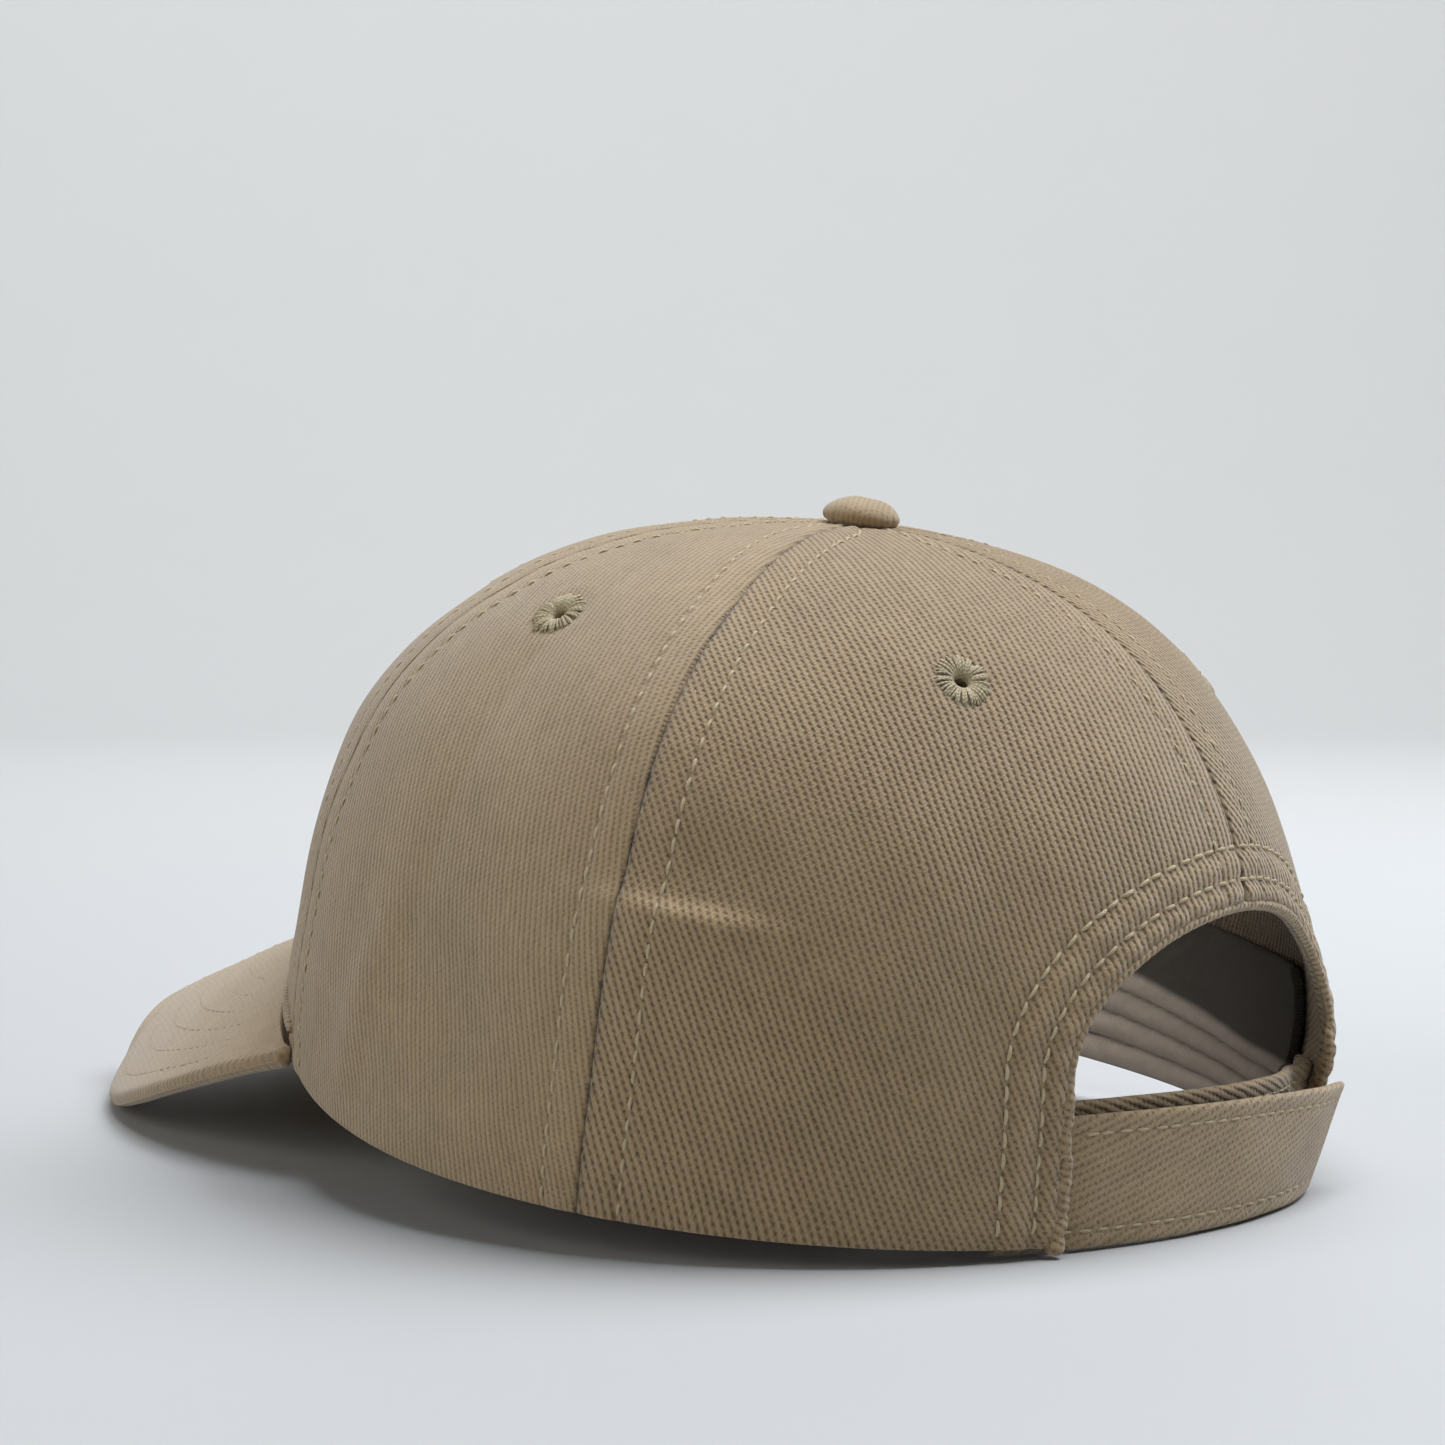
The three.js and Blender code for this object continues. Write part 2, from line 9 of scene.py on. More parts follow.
import bmesh
import bpy
import numpy as np
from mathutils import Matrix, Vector


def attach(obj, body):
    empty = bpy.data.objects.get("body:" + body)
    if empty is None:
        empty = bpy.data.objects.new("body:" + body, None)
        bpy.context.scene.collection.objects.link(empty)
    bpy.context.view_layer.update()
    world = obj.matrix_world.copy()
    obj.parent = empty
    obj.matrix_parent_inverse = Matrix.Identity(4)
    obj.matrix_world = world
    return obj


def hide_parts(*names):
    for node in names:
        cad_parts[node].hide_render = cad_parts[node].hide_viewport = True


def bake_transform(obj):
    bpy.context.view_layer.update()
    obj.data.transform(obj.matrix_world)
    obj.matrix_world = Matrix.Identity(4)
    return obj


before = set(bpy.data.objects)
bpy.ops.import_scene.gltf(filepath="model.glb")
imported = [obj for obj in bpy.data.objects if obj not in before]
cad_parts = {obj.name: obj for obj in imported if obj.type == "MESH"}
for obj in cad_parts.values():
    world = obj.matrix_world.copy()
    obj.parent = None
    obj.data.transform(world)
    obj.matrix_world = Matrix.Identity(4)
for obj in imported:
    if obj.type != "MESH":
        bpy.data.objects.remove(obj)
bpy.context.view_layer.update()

MM = 0.001
CROWN = "crown_and_visor"
OUTER_FLAP = "outer_strap_flap"
INNER_FLAP = "inner_strap_flap"
SIDES = (("left", 1), ("right", -1))

# ---- driving dimensions, in millimetres ------------------------------------------------------------

FRAME_SHIFT = 35.8
HALF_LENGTH, HALF_WIDTH, HEIGHT = 96.0, 89.5, 102.8
TILT = math.radians(8)
LIFT = 14.85
APEX_OFFSET = 0.5
EGG = 0.019
BACK_TUCK = 3.6
PLAN = {"front": 2.14, "side": 2.28, "back": 2.51}
PROFILE = {"front": 3.1, "back": 2.22}
PUFF = 0.033
RIM_DROP, RIM_SLOPE, RIM_ARCH = -1.15, -10.1, 22.0
FRONT_SEAM, BACK_SEAM = math.radians(53.6), math.radians(104.2)
FLARE = {"out": 4.0, "x": -43.0, "z": 27.0, "reach_x": 18.0, "reach_z": 16.0}
CROWN_TOP = 0.985

CLOTH = 1.0
STITCH_SET = 6.2
STITCH_PITCH = 3.4
OPENING = {"half": 40.0, "spring": 28.0, "rise": 25.0}
HINGE_X = 34.0
OUTER_STRAP = {
    "root": [(48.5, 74.0), (43.5, 77.3), (39.0, 79.8)],
    "low": [(HINGE_X, 82.0, 0.5), (0.0, 92.2, 0.5), (-30.0, 88.6, 0.6)],
    "high": [(HINGE_X, 82.8, 21.8), (-2.0, 94.3, 21.0), (-40.0, 90.8, 18.2)],
}
INNER_STRAP = {
    "root": [(-48.5, 75.5), (-43.5, 79.0), (-39.0, 81.2)],
    "low": [(-HINGE_X, 82.6, 1.2), (0.0, 87.0, 1.2), (41.0, 74.5, 1.2)],
    "high": [(-HINGE_X, 83.4, 21.0), (0.0, 88.6, 22.6), (41.0, 75.5, 23.6)],
}
VISOR = {
    "corner": 0.985, "half_width": 74.2, "origin": -57.0, "reach": 109.6, "square": 1.87,
    "z": 38.43, "slope": 0.197, "droop": -0.0016, "y": -93.5,
    "bend_rear": 126.5, "bend_front": 27.5, "bend_from": -56.0, "bend_length": 99.0,
    "rise": 0.8, "gap": 0.35, "half": 1.9,
}

# ---- crown surface ---------------------------------------------------------------------------------


def seam_angle(phi):
    """Angle stretched so that the six seams fall on whole multiples of 60 degrees."""
    turn = np.abs(np.arctan2(np.sin(phi), np.cos(phi)))
    return np.interp(turn, [0, FRONT_SEAM, BACK_SEAM, np.pi], [0, np.pi / 3, 2 * np.pi / 3, np.pi])


def rim_height(phi):
    frontness = (1 + np.cos(phi)) / 2
    return RIM_DROP + RIM_SLOPE * frontness + RIM_ARCH * frontness ** 5


def profile_power(phi):
    back = np.clip(-np.cos(phi), 0, 1) ** 2
    return PROFILE["front"] * (1 - back) + PROFILE["back"] * back


def crown(phi, t):
    """Points of the crown's outer face: phi 0 is the visor, pi the back; t 0 is the rim, 1 the apex."""
    phi, t = np.broadcast_arrays(np.asarray(phi, float), np.asarray(t, float))
    rise = np.clip(t, 0, 1) * np.pi / 2
    cosine = np.cos(phi)
    front = np.clip(cosine, 0, 1) ** 2
    back = np.clip(-cosine, 0, 1) ** 2
    plan = PLAN["front"] * front + PLAN["back"] * back + PLAN["side"] * (1 - front - back)
    height = np.sin(rise) ** (2 / profile_power(phi))
    puff = 1 + PUFF * np.sin(np.pi * t) * (np.abs(np.cos(3 * seam_angle(phi))) - 0.6)
    radius = np.clip(np.cos(rise), 0, 1) ** (2 / plan) * puff
    x = HALF_WIDTH * np.sin(phi) * radius * (1 + EGG * cosine)
    tuck = BACK_TUCK * np.clip(-cosine, 0, 1) ** 3 * (1 - height)
    y = -HALF_LENGTH * cosine * radius + APEX_OFFSET * height - tuck
    rim = rim_height(phi)
    z = rim + (HEIGHT - rim) * height
    turned_y = y * math.cos(TILT) + z * math.sin(TILT)
    turned_z = -y * math.sin(TILT) + z * math.cos(TILT) + LIFT
    across = (x - FLARE["x"]) / FLARE["reach_x"]
    up = (turned_z - FLARE["z"]) / FLARE["reach_z"]
    turned_y = turned_y + np.where(cosine < 0, FLARE["out"] * np.exp(-across ** 2 - up ** 2), 0)
    return np.stack([x, turned_y + FRAME_SHIFT, turned_z], -1)


def unit(vectors):
    return vectors / np.maximum(np.linalg.norm(vectors, axis=-1, keepdims=True), 1e-9)


def crown_normal(phi, t):
    phi, t = np.broadcast_arrays(np.asarray(phi, float), np.asarray(t, float))
    step = 1e-3
    up = crown(phi, t + step) - crown(phi, np.maximum(t - step, 0))
    along = crown(phi + step, t) - crown(phi - step, t)
    return unit(np.cross(along, up))


def at_height(phi, height):
    """The crown parameter at a height above the rim, in millimetres."""
    share = np.clip(height / (HEIGHT - rim_height(phi)), 0, 1)
    return np.arcsin(share ** (profile_power(phi) / 2)) * 2 / np.pi


def span(phi, t):
    """Plan radius about the apex, which turns a distance along the crown into an angle."""
    point = crown(phi, t) - crown(phi, 1.0)
    return np.hypot(point[..., 0], point[..., 1])


def back_parameters(x, z):
    """The crown parameters of the back's points at given x and z, found by Newton steps."""
    x, z = np.broadcast_arrays(np.asarray(x, float), np.asarray(z, float))
    phi = np.pi - np.arcsin(x / HALF_WIDTH)
    t = np.full(x.shape, 0.1)
    step = 1e-4
    for _ in range(15):
        here = crown(phi, t)
        turned = (crown(phi + step, t) - here) / step
        raised = (crown(phi, t + step) - here) / step
        dx, dz = x - here[..., 0], z - here[..., 2]
        scale = turned[..., 0] * raised[..., 2] - turned[..., 2] * raised[..., 0]
        phi = phi + (dx * raised[..., 2] - dz * raised[..., 0]) / scale
        t = np.clip(t + (dz * turned[..., 0] - dx * turned[..., 2]) / scale, 0.002, 0.9)
    return phi, t


def arch_path(count=240, low=0.0):
    """The opening's outline in the x-z plane, from the left foot over the arch to the right foot."""
    up = np.linspace(low, OPENING["spring"], 40)[:-1]
    turn = np.linspace(0, np.pi, count)
    side = np.full(up.shape, OPENING["half"])
    x = np.concatenate([side, OPENING["half"] * np.cos(turn), -side])
    z = np.concatenate([up, OPENING["spring"] + OPENING["rise"] * np.sin(turn), up[::-1]])
    return np.stack([x, z], -1)


ARCH = arch_path()


# ---- cloth relief ----------------------------------------------------------------------------------


def bell(value, width):
    return np.exp(-(value / width) ** 2)


def seam_relief(distance, along, stitch_row=STITCH_SET):
    """Height of the cloth beside a seam: a tucked edge, a raised allowance and puckers at the stitches."""
    tuck = -0.50 * bell(distance, 0.34)
    allowance = 0.20 * bell(distance - 0.55 * stitch_row, 0.36 * stitch_row)
    pucker = 0.66 + 0.34 * np.cos(2 * np.pi * along / STITCH_PITCH)
    groove = -0.26 * bell(distance - stitch_row, 0.50) * pucker
    return tuck + allowance + groove


def soft_noise(points, scale, seed):
    """Smooth repeatable noise from a few rotated sine waves, about -1 to 1."""
    rng = np.random.default_rng(seed)
    total = np.zeros(points.shape[:-1])
    for _ in range(7):
        direction = unit(rng.normal(size=3)) * rng.uniform(0.6, 1.5) / scale
        total += np.sin(2 * np.pi * points @ direction + rng.uniform(0, 2 * np.pi))
    return total / 3.5


# Folds on the left side: places in degrees round the crown and in millimetres of height.
CREASE = {"middle": 111.5, "half": 8.0, "z": 55.5, "drop": 0.26, "out": 2.1, "ledge": 1.1, "fade": 13.0}
SHELF = {"middle": 122.0, "half": 17.0, "z": 45.5, "drop": 0.16, "out": 1.0, "ledge": 4.5, "fade": 20.0}
DRAPE_FADE = 12.0


def degrees_round(phi):
    return np.degrees(np.arctan2(np.sin(phi), np.cos(phi)))


def below_line(turn, z, fold):
    return fold["z"] - fold["drop"] * (turn - fold["middle"]) - z


def ledge(turn, z, fold):
    """A fold that steps out under a sloping line and sinks slowly back into the wall below it."""
    under = below_line(turn, z, fold)
    step = 0.5 + 0.5 * np.tanh(under / fold["ledge"])
    rest = np.exp(-np.clip(under, 0, None) / fold["fade"])
    return fold["out"] * bell(turn - fold["middle"], fold["half"]) * step * rest


def drape(phi, points):
    """Soft dents and one crease that the sewn cloth keeps, as a height over the plain crown."""
    z = points[..., 2]
    waves = 0.55 * soft_noise(points, 70, 11) + 0.22 * soft_noise(points, 26, 12)
    band = bell(z - 34, 20)
    dents = 0.7 * band * soft_noise(points * np.array([1, 1, 0.55]), 42, 13)
    turn = degrees_round(phi)
    folds = ledge(turn, z, CREASE) + ledge(turn, z, SHELF)
    above = -0.7 * bell(z - CREASE["z"] - 6.5, 5.5) * bell(turn - CREASE["middle"], 10)
    ridge = 1.0 * bell(turn - 71 - 0.12 * (z - 30), 3.2) * bell(z - 30, 24)
    hollow = -0.7 * bell(turn - 84, 9) * bell(z - 34, 22)
    sunken = -0.9 * bell(z - 26, 13) * bell(turn - 116, 24)
    return waves + dents + folds + above + ridge + hollow + sunken


# ---- meshes ----------------------------------------------------------------------------------------


class Builder:
    """Collects vertices, faces and millimetre UVs of one piece."""

    def __init__(self):
        self.points = []
        self.faces = []
        self.uvs = []
        self.relief = []
        self.count = 0

    def add(self, points, uvs=None, relief=None):
        points = np.asarray(points, float).reshape(-1, 3)
        uvs = np.zeros((len(points), 2)) if uvs is None else np.asarray(uvs, float).reshape(-1, 2)
        self.points.append(points)
        self.uvs.append(uvs)
        self.relief.append(np.zeros(len(points)) if relief is None else np.asarray(relief, float).ravel())
        start = self.count
        self.count += len(points)
        return start

    def grid(self, points, uvs=None, flip=False, wrap=False):
        """A sheet of quads over a rows x columns array. Returns the index of each vertex."""
        rows, columns = points.shape[:2]
        index = self.add(points, uvs) + np.arange(rows * columns).reshape(rows, columns)
        ring = np.concatenate([index, index[:, :1]], 1) if wrap else index
        quads = np.stack([ring[:-1, :-1], ring[:-1, 1:], ring[1:, 1:], ring[1:, :-1]], -1).reshape(-1, 4)
        self.faces.append(quads[:, ::-1] if flip else quads)
        return index

    def bridge(self, first, second):
        """Quads between two equally long runs of vertices."""
        first, second = np.asarray(first), np.asarray(second)
        quads = np.stack([first[:-1], second[:-1], second[1:], first[1:]], -1)
        self.faces.append(quads)

    def make(self, name, material, body, replaces=(), weld=2e-4):
        """Turns the collected faces into one piece that rides on a body and wears a material."""
        triangles = [f for f in self.faces if f.shape[1] == 3]
        quads = [f for f in self.faces if f.shape[1] == 4]
        used = np.unique(np.concatenate([f.ravel() for f in self.faces]))
        place = np.zeros(self.count, np.int64)
        place[used] = np.arange(len(used))
        faces = [corner for f in (quads, triangles) if f for corner in place[np.concatenate(f)].tolist()]
        mesh = bpy.data.meshes.new(name)
        mesh.from_pydata((np.concatenate(self.points)[used] * MM).tolist(), [], faces)
        loops = np.empty(len(mesh.loops), np.int64)
        mesh.loops.foreach_get("vertex_index", loops)
        uvs = np.concatenate(self.uvs)[used][loops]
        mesh.uv_layers.new(name="cloth").data.foreach_set("uv", uvs.astype(np.float32).ravel())
        # The relief attribute carries the painted light and shade that the materials multiply into the cloth's
        # colour.
        relief = mesh.attributes.new("relief", "FLOAT", "POINT")
        relief.data.foreach_set("value", np.concatenate(self.relief)[used].astype(np.float32))
        tidy_mesh(mesh, weld * MM)
        mesh.polygons.foreach_set("use_smooth", np.ones(len(mesh.polygons), bool))
        piece = bpy.data.objects.new(name, mesh)
        bpy.context.scene.collection.objects.link(piece)
        mesh.materials.append(material)
        if replaces:
            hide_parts(*replaces)
        if body:
            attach(piece, body)
        return piece


def tidy_mesh(mesh, distance):
    """Welds doubled vertices, drops faces without area and turns all faces outwards."""
    work = bmesh.new()
    work.from_mesh(mesh)
    bmesh.ops.remove_doubles(work, verts=work.verts, dist=distance)
    bmesh.ops.dissolve_degenerate(work, edges=work.edges, dist=distance)
    bmesh.ops.recalc_face_normals(work, faces=work.faces)
    work.to_mesh(mesh)
    work.free()


def slab(builder, outer, inner, uvs, keep=None, relief=None, inside=None):
    """A closed sheet between an outer and an inner grid, without the cells that keep leaves out."""
    rows, columns = outer.shape[:2]
    keep = np.ones((rows - 1, columns - 1), bool) if keep is None else keep
    top = builder.add(outer, uvs, relief) + np.arange(rows * columns).reshape(rows, columns)
    under = top + (builder.add(inner, uvs, relief if inside is None else inside) - top[0, 0])
    for index, order in ((top, (0, 1, 2, 3)), (under, (3, 2, 1, 0))):
        corners = (index[:-1, :-1], index[:-1, 1:], index[1:, 1:], index[1:, :-1])
        builder.faces.append(np.stack([corners[k][keep] for k in order], -1))
    framed = np.pad(keep, 1)
    for lower, upper, first, second in (
            (framed[:-1, 1:-1], framed[1:, 1:-1], (slice(None), slice(None, -1)), (slice(None), slice(1, None))),
            (framed[1:-1, :-1], framed[1:-1, 1:], (slice(None, -1), slice(None)), (slice(1, None), slice(None)))):
        border = lower != upper
        builder.faces.append(np.stack([top[first][border], top[second][border],
                                       under[second][border], under[first][border]], -1))


def row_lengths(points):
    """Running length along each row of a grid, from its middle column."""
    steps = np.linalg.norm(np.diff(points, axis=1), axis=-1)
    run = np.concatenate([np.zeros((len(points), 1)), np.cumsum(steps, 1)], 1)
    return run - run[:, points.shape[1] // 2][:, None]


def column_length(points):
    """Running length up the middle column of a grid."""
    middle = points[:, points.shape[1] // 2]
    return np.concatenate([[0], np.cumsum(np.linalg.norm(np.diff(middle, axis=0), axis=-1))])


# Distances of a panel's close columns from its seam.
SEAM_COLUMNS = np.array([0, 0.2, 0.45, 0.8, 1.3, 2.0, 2.9, 3.8, 4.6, 5.2, 5.6, 5.9, 6.2, 6.5, 6.9,
                         7.5, 8.6, 10.4])


def edge_round(distance, radius):
    """How far the face of a rounded edge drops at a distance from that edge."""
    inside = np.clip(radius - distance, 0, radius)
    return radius - np.sqrt(radius ** 2 - inside ** 2)


def panel_columns(phi_a, phi_b, t, interior):
    """Angles of a panel's columns in each row: close together beside both seams, even between."""
    radius = (span(phi_a, t) + span(phi_b, t)) / 2
    width = (phi_b - phi_a) * radius
    squeeze = np.minimum(1, width / (2.3 * SEAM_COLUMNS[-1]))
    near = SEAM_COLUMNS[None, :] * squeeze[:, None]
    reach = near[:, -1:]
    middle = reach + (width[:, None] - 2 * reach) * np.linspace(0, 1, interior + 2)[None, 1:-1]
    offsets = np.concatenate([near, middle, width[:, None] - near[:, ::-1]], 1)
    angles = phi_a + offsets / np.maximum(radius[:, None], 1e-6)
    return angles, offsets, width, squeeze


def panel_rows(count):
    """Crown parameters of the rows, at even steps of height and then of angle near the apex."""
    low = np.array([0, 0.15, 0.4, 0.8, 1.4])
    start = at_height(np.array([1.2]), low)
    path = np.linspace(start[-1], CROWN_TOP, 1200)
    points = crown(1.2, path)
    run = np.concatenate([[0], np.cumsum(np.linalg.norm(np.diff(points, axis=0), axis=-1))])
    rest = np.interp(np.linspace(0, run[-1], count), run, path)
    return np.concatenate([start[:-1], rest])


# Painted shade values darken the cloth's colour: the unlined inside of the crown, and a broken dark line of shade
# in the crevice along each seam.
INSIDE_SHADE = -2.4
SEAM_SHADE = -3.6
SEAM_LINE = 0.3
RIM_ROUND = 0.48


def panel_relief(phi, t, points, offsets, width, squeeze):
    """Heights of a panel's two faces over the plain crown, and the light and shade painted on its cloth."""
    along = column_length(points)[:, None] * np.ones(offsets.shape)
    row = STITCH_SET * squeeze[:, None]
    seams = seam_relief(offsets, along, row) + seam_relief(width[:, None] - offsets, along + 1.1, row)
    rim = -edge_round(points[..., 2] - crown(phi, 0)[..., 2], RIM_ROUND)
    offset = cloth_offset(phi, t, points)
    ragged = np.random.default_rng(3).uniform(-0.2, 1.0, len(points)).clip(0)[:, None]
    stray = np.random.default_rng(4).uniform(0.0, 0.55, len(points))[:, None]
    line = bell(offsets - stray, SEAM_LINE) + bell(width[:, None] - offsets, SEAM_LINE)
    # Painted shade in each seam's tuck and stitch groove, a painted highlight on the raised allowance, and a broken
    # painted shadow line along the seam itself.
    painted_light_and_shade = np.clip(seams * 1.2, -0.5, 0.4) + SEAM_SHADE * ragged * line
    return {"outer": seams + rim + offset, "inner": offset - rim, "painted_light_and_shade": painted_light_and_shade}


def cloth_offset(phi, t, points):
    """The drape, faded out at the rim so that the crown still meets its visor and its hems."""
    above = points[..., 2] - crown(phi, 0)[..., 2]
    fade = np.clip(above / DRAPE_FADE, 0, 1)
    return drape(phi, points) * fade * fade * (3 - 2 * fade)


def cloth_point(phi, t, depth):
    """A point of the draped crown at a depth under its outer face."""
    base = crown(phi, t)
    return base + crown_normal(phi, t) * (cloth_offset(phi, t, base) - depth)[..., None]


# ---- node materials --------------------------------------------------------------------------------


class Nodes:
    """Short names for the node calls that the materials share."""

    def __init__(self, name):
        self.material = bpy.data.materials.new(name)
        self.material.use_nodes = True
        self.tree = self.material.node_tree
        self.tree.nodes.clear()
        self.output = self.add("ShaderNodeOutputMaterial")
        self.shader = self.add("ShaderNodeBsdfPrincipled")
        self.link(self.shader.outputs[0], self.output.inputs[0])

    def add(self, kind, **values):
        node = self.tree.nodes.new(kind)
        for key, value in values.items():
            setattr(node, key, value)
        return node

    def link(self, source, target):
        self.tree.links.new(source, target)

    def put(self, target, value):
        if isinstance(value, bpy.types.NodeSocket):
            self.link(value, target)
        else:
            target.default_value = value

    def math(self, operation, *values):
        node = self.add("ShaderNodeMath", operation=operation)
        for socket, value in zip(node.inputs, values):
            self.put(socket, value)
        return node.outputs[0]

    def sum(self, *terms):
        total = terms[0]
        for term in terms[1:]:
            total = self.math("ADD", total, term)
        return total

    def scaled(self, value, factor, offset=0.0):
        node = self.add("ShaderNodeMath", operation="MULTIPLY_ADD")
        for socket, part in zip(node.inputs, (value, factor, offset)):
            self.put(socket, part)
        return node.outputs[0]

    def cloth_axes(self):
        """The cloth's own millimetre coordinates."""
        split = self.add("ShaderNodeSeparateXYZ")
        self.link(self.add("ShaderNodeUVMap", uv_map="cloth").outputs[0], split.inputs[0])
        return split.outputs[0], split.outputs[1]

    def vector(self, x, y, z=0.0):
        node = self.add("ShaderNodeCombineXYZ")
        for socket, value in zip(node.inputs, (x, y, z)):
            self.put(socket, value)
        return node.outputs[0]

    def noise(self, vector, scale, detail=2.0, roughness=0.5):
        node = self.add("ShaderNodeTexNoise")
        self.link(vector, node.inputs["Vector"])
        node.inputs["Scale"].default_value = scale
        node.inputs["Detail"].default_value = detail
        node.inputs["Roughness"].default_value = roughness
        return node.outputs[0]

    def object_space(self):
        """Object coordinates in millimetres."""
        node = self.add("ShaderNodeVectorMath", operation="SCALE")
        self.link(self.add("ShaderNodeTexCoord").outputs["Object"], node.inputs[0])
        node.inputs["Scale"].default_value = 1000.0
        return node.outputs[0]

    def attribute(self, name):
        return self.add("ShaderNodeAttribute", attribute_name=name).outputs["Fac"]

    def ramp(self, value, *stops):
        node = self.add("ShaderNodeValToRGB")
        self.link(value, node.inputs[0])
        elements = node.color_ramp.elements
        while len(elements) < len(stops):
            elements.new(0.5)
        for element, (place, color) in zip(elements, stops):
            element.position = place
            element.color = (*color, 1)
        return node.outputs[0]

    def blend(self, factor, a, b, mode="MIX"):
        node = self.add("ShaderNodeMix", data_type="RGBA", blend_type=mode)
        for socket, value in ((node.inputs[0], factor), (node.inputs[6], a), (node.inputs[7], b)):
            if not isinstance(value, (bpy.types.NodeSocket, float)):
                value = (*value, 1)
            self.put(socket, value)
        return node.outputs[2]

    def bump(self, height, distance):
        node = self.add("ShaderNodeBump")
        node.inputs["Strength"].default_value = 1.0
        node.inputs["Distance"].default_value = distance * MM
        self.link(height, node.inputs["Height"])
        self.link(node.outputs[0], self.shader.inputs["Normal"])

    def surface(self, roughness, sheen=0.0, specular=0.25, metallic=0.0):
        self.put(self.shader.inputs["Roughness"], roughness)
        self.shader.inputs["Metallic"].default_value = metallic
        self.shader.inputs["Specular IOR Level"].default_value = specular
        self.shader.inputs["Sheen Weight"].default_value = sheen
        self.shader.inputs["Sheen Roughness"].default_value = 0.55

    def color(self, value):
        self.put(self.shader.inputs["Base Color"], value)


# Dark notches, plain cloth and light ridges of the khaki twill: the weave's pattern, with painted shade in the
# notches and painted light on the ridges.
TWILL_TONES = ((0.146, 0.094, 0.042), (0.354, 0.251, 0.137), (0.512, 0.388, 0.231))


def twill(name, lean, pitch=1.40, tint=(1.0, 1.0, 1.0), contrast=1.0, depth=0.34, notch_run=1.12):
    """Cotton twill: slanting ridges with rows of stepped dark notches between them, lint, and the painted light and
    shade of the relief attribute.

    lean is the ridges' direction, in degrees from the cloth's U axis.
    """
    n = Nodes(name)
    u, v = n.cloth_axes()
    angle = math.radians(lean)
    flat = n.vector(u, v)
    wander = n.scaled(n.noise(flat, 0.05, 2.0), 1.1, -0.55)
    jitter = n.scaled(n.noise(flat, 0.75, 2.0), 0.36, -0.18)
    across = n.sum(n.math("MULTIPLY", u, -math.sin(angle) / pitch),
                   n.math("MULTIPLY", v, math.cos(angle) / pitch), wander, jitter)
    along = n.sum(n.math("MULTIPLY", u, math.cos(angle)), n.math("MULTIPLY", v, math.sin(angle)))
    groove = n.scaled(n.math("COSINE", n.math("MULTIPLY", across, 2 * math.pi)), -0.5, 0.5)
    number = n.math("FLOOR", across)
    step = n.sum(n.math("MULTIPLY", along, 1 / notch_run), n.math("MULTIPLY", number, 0.44),
                 n.scaled(n.noise(flat, 0.8, 1.0), 0.7))
    beat = n.math("COSINE", n.math("MULTIPLY", step, 2 * math.pi))
    notch = n.math("MULTIPLY", n.math("POWER", groove, 1.5), n.scaled(beat, 0.27, 0.73))
    float_phase = n.sum(step, n.math("MULTIPLY", across, 0.7))
    float_step = n.math("COSINE", n.math("MULTIPLY", float_phase, 4 * math.pi))
    yarn = n.noise(n.vector(n.math("MULTIPLY", along, 0.22), n.math("MULTIPLY", number, 3.7)), 1.0, 2.0)
    lint = n.noise(n.object_space(), 2.2, 3.0, 0.72)
    height = n.sum(n.scaled(notch, -1.0, 1.0), n.scaled(float_step, 0.07), n.scaled(lint, 0.5),
                   n.scaled(yarn, 0.3))
    low, mid, high = (tuple(c * k for c, k in zip(tone, tint)) for tone in TWILL_TONES)
    tone = n.sum(n.scaled(notch, -0.56 * contrast, 0.58 + 0.10 * contrast), n.scaled(float_step, 0.035),
                 n.scaled(lint, 0.56, -0.28), n.scaled(yarn, 0.36, -0.18))
    cloth = n.ramp(tone, (0.0, low), (0.5, mid), (1.0, high))
    blotch = n.noise(n.object_space(), 0.045, 4.0, 0.6)
    # Random blotches of tone, and the painted light and shade of the relief attribute, scale the cloth's colour.
    blotch_and_painted_shade = n.sum(n.scaled(blotch, 0.34, 0.83), n.scaled(n.attribute("relief"), 0.22))
    fade = n.math("MAXIMUM", blotch_and_painted_shade, 0.10)
    blotched_and_shaded = n.blend(1.0, cloth, n.vector(fade, fade, fade), "MULTIPLY")
    n.color(blotched_and_shaded)
    n.surface(n.scaled(notch, 0.06, 0.86), sheen=0.42, specular=0.18)
    n.bump(height, depth)
    return n.material


def plain_weave(name, dark, light, pitch=0.62):
    """A fine plain weave with mottled yarns."""
    n = Nodes(name)
    u, v = n.cloth_axes()
    flat = n.vector(u, v)
    warp = n.math("COSINE", n.math("MULTIPLY", u, 2 * math.pi / pitch))
    weft = n.math("COSINE", n.math("MULTIPLY", v, 2 * math.pi / pitch))
    weave = n.scaled(n.math("MULTIPLY", warp, weft), 0.5, 0.5)
    mottle = n.noise(flat, 0.35, 4.0, 0.65)
    tone = n.sum(n.scaled(weave, 0.45), n.scaled(mottle, 0.85, -0.15))
    shade = n.scaled(n.attribute("relief"), 0.32, 1.0)
    cloth = n.ramp(tone, (0.1, dark), (0.85, light))
    n.color(n.blend(1.0, cloth, n.vector(shade, shade, shade), "MULTIPLY"))
    n.surface(0.9, sheen=0.1, specular=0.2)
    n.bump(n.sum(weave, n.scaled(mottle, 0.6)), 0.16)
    return n.material


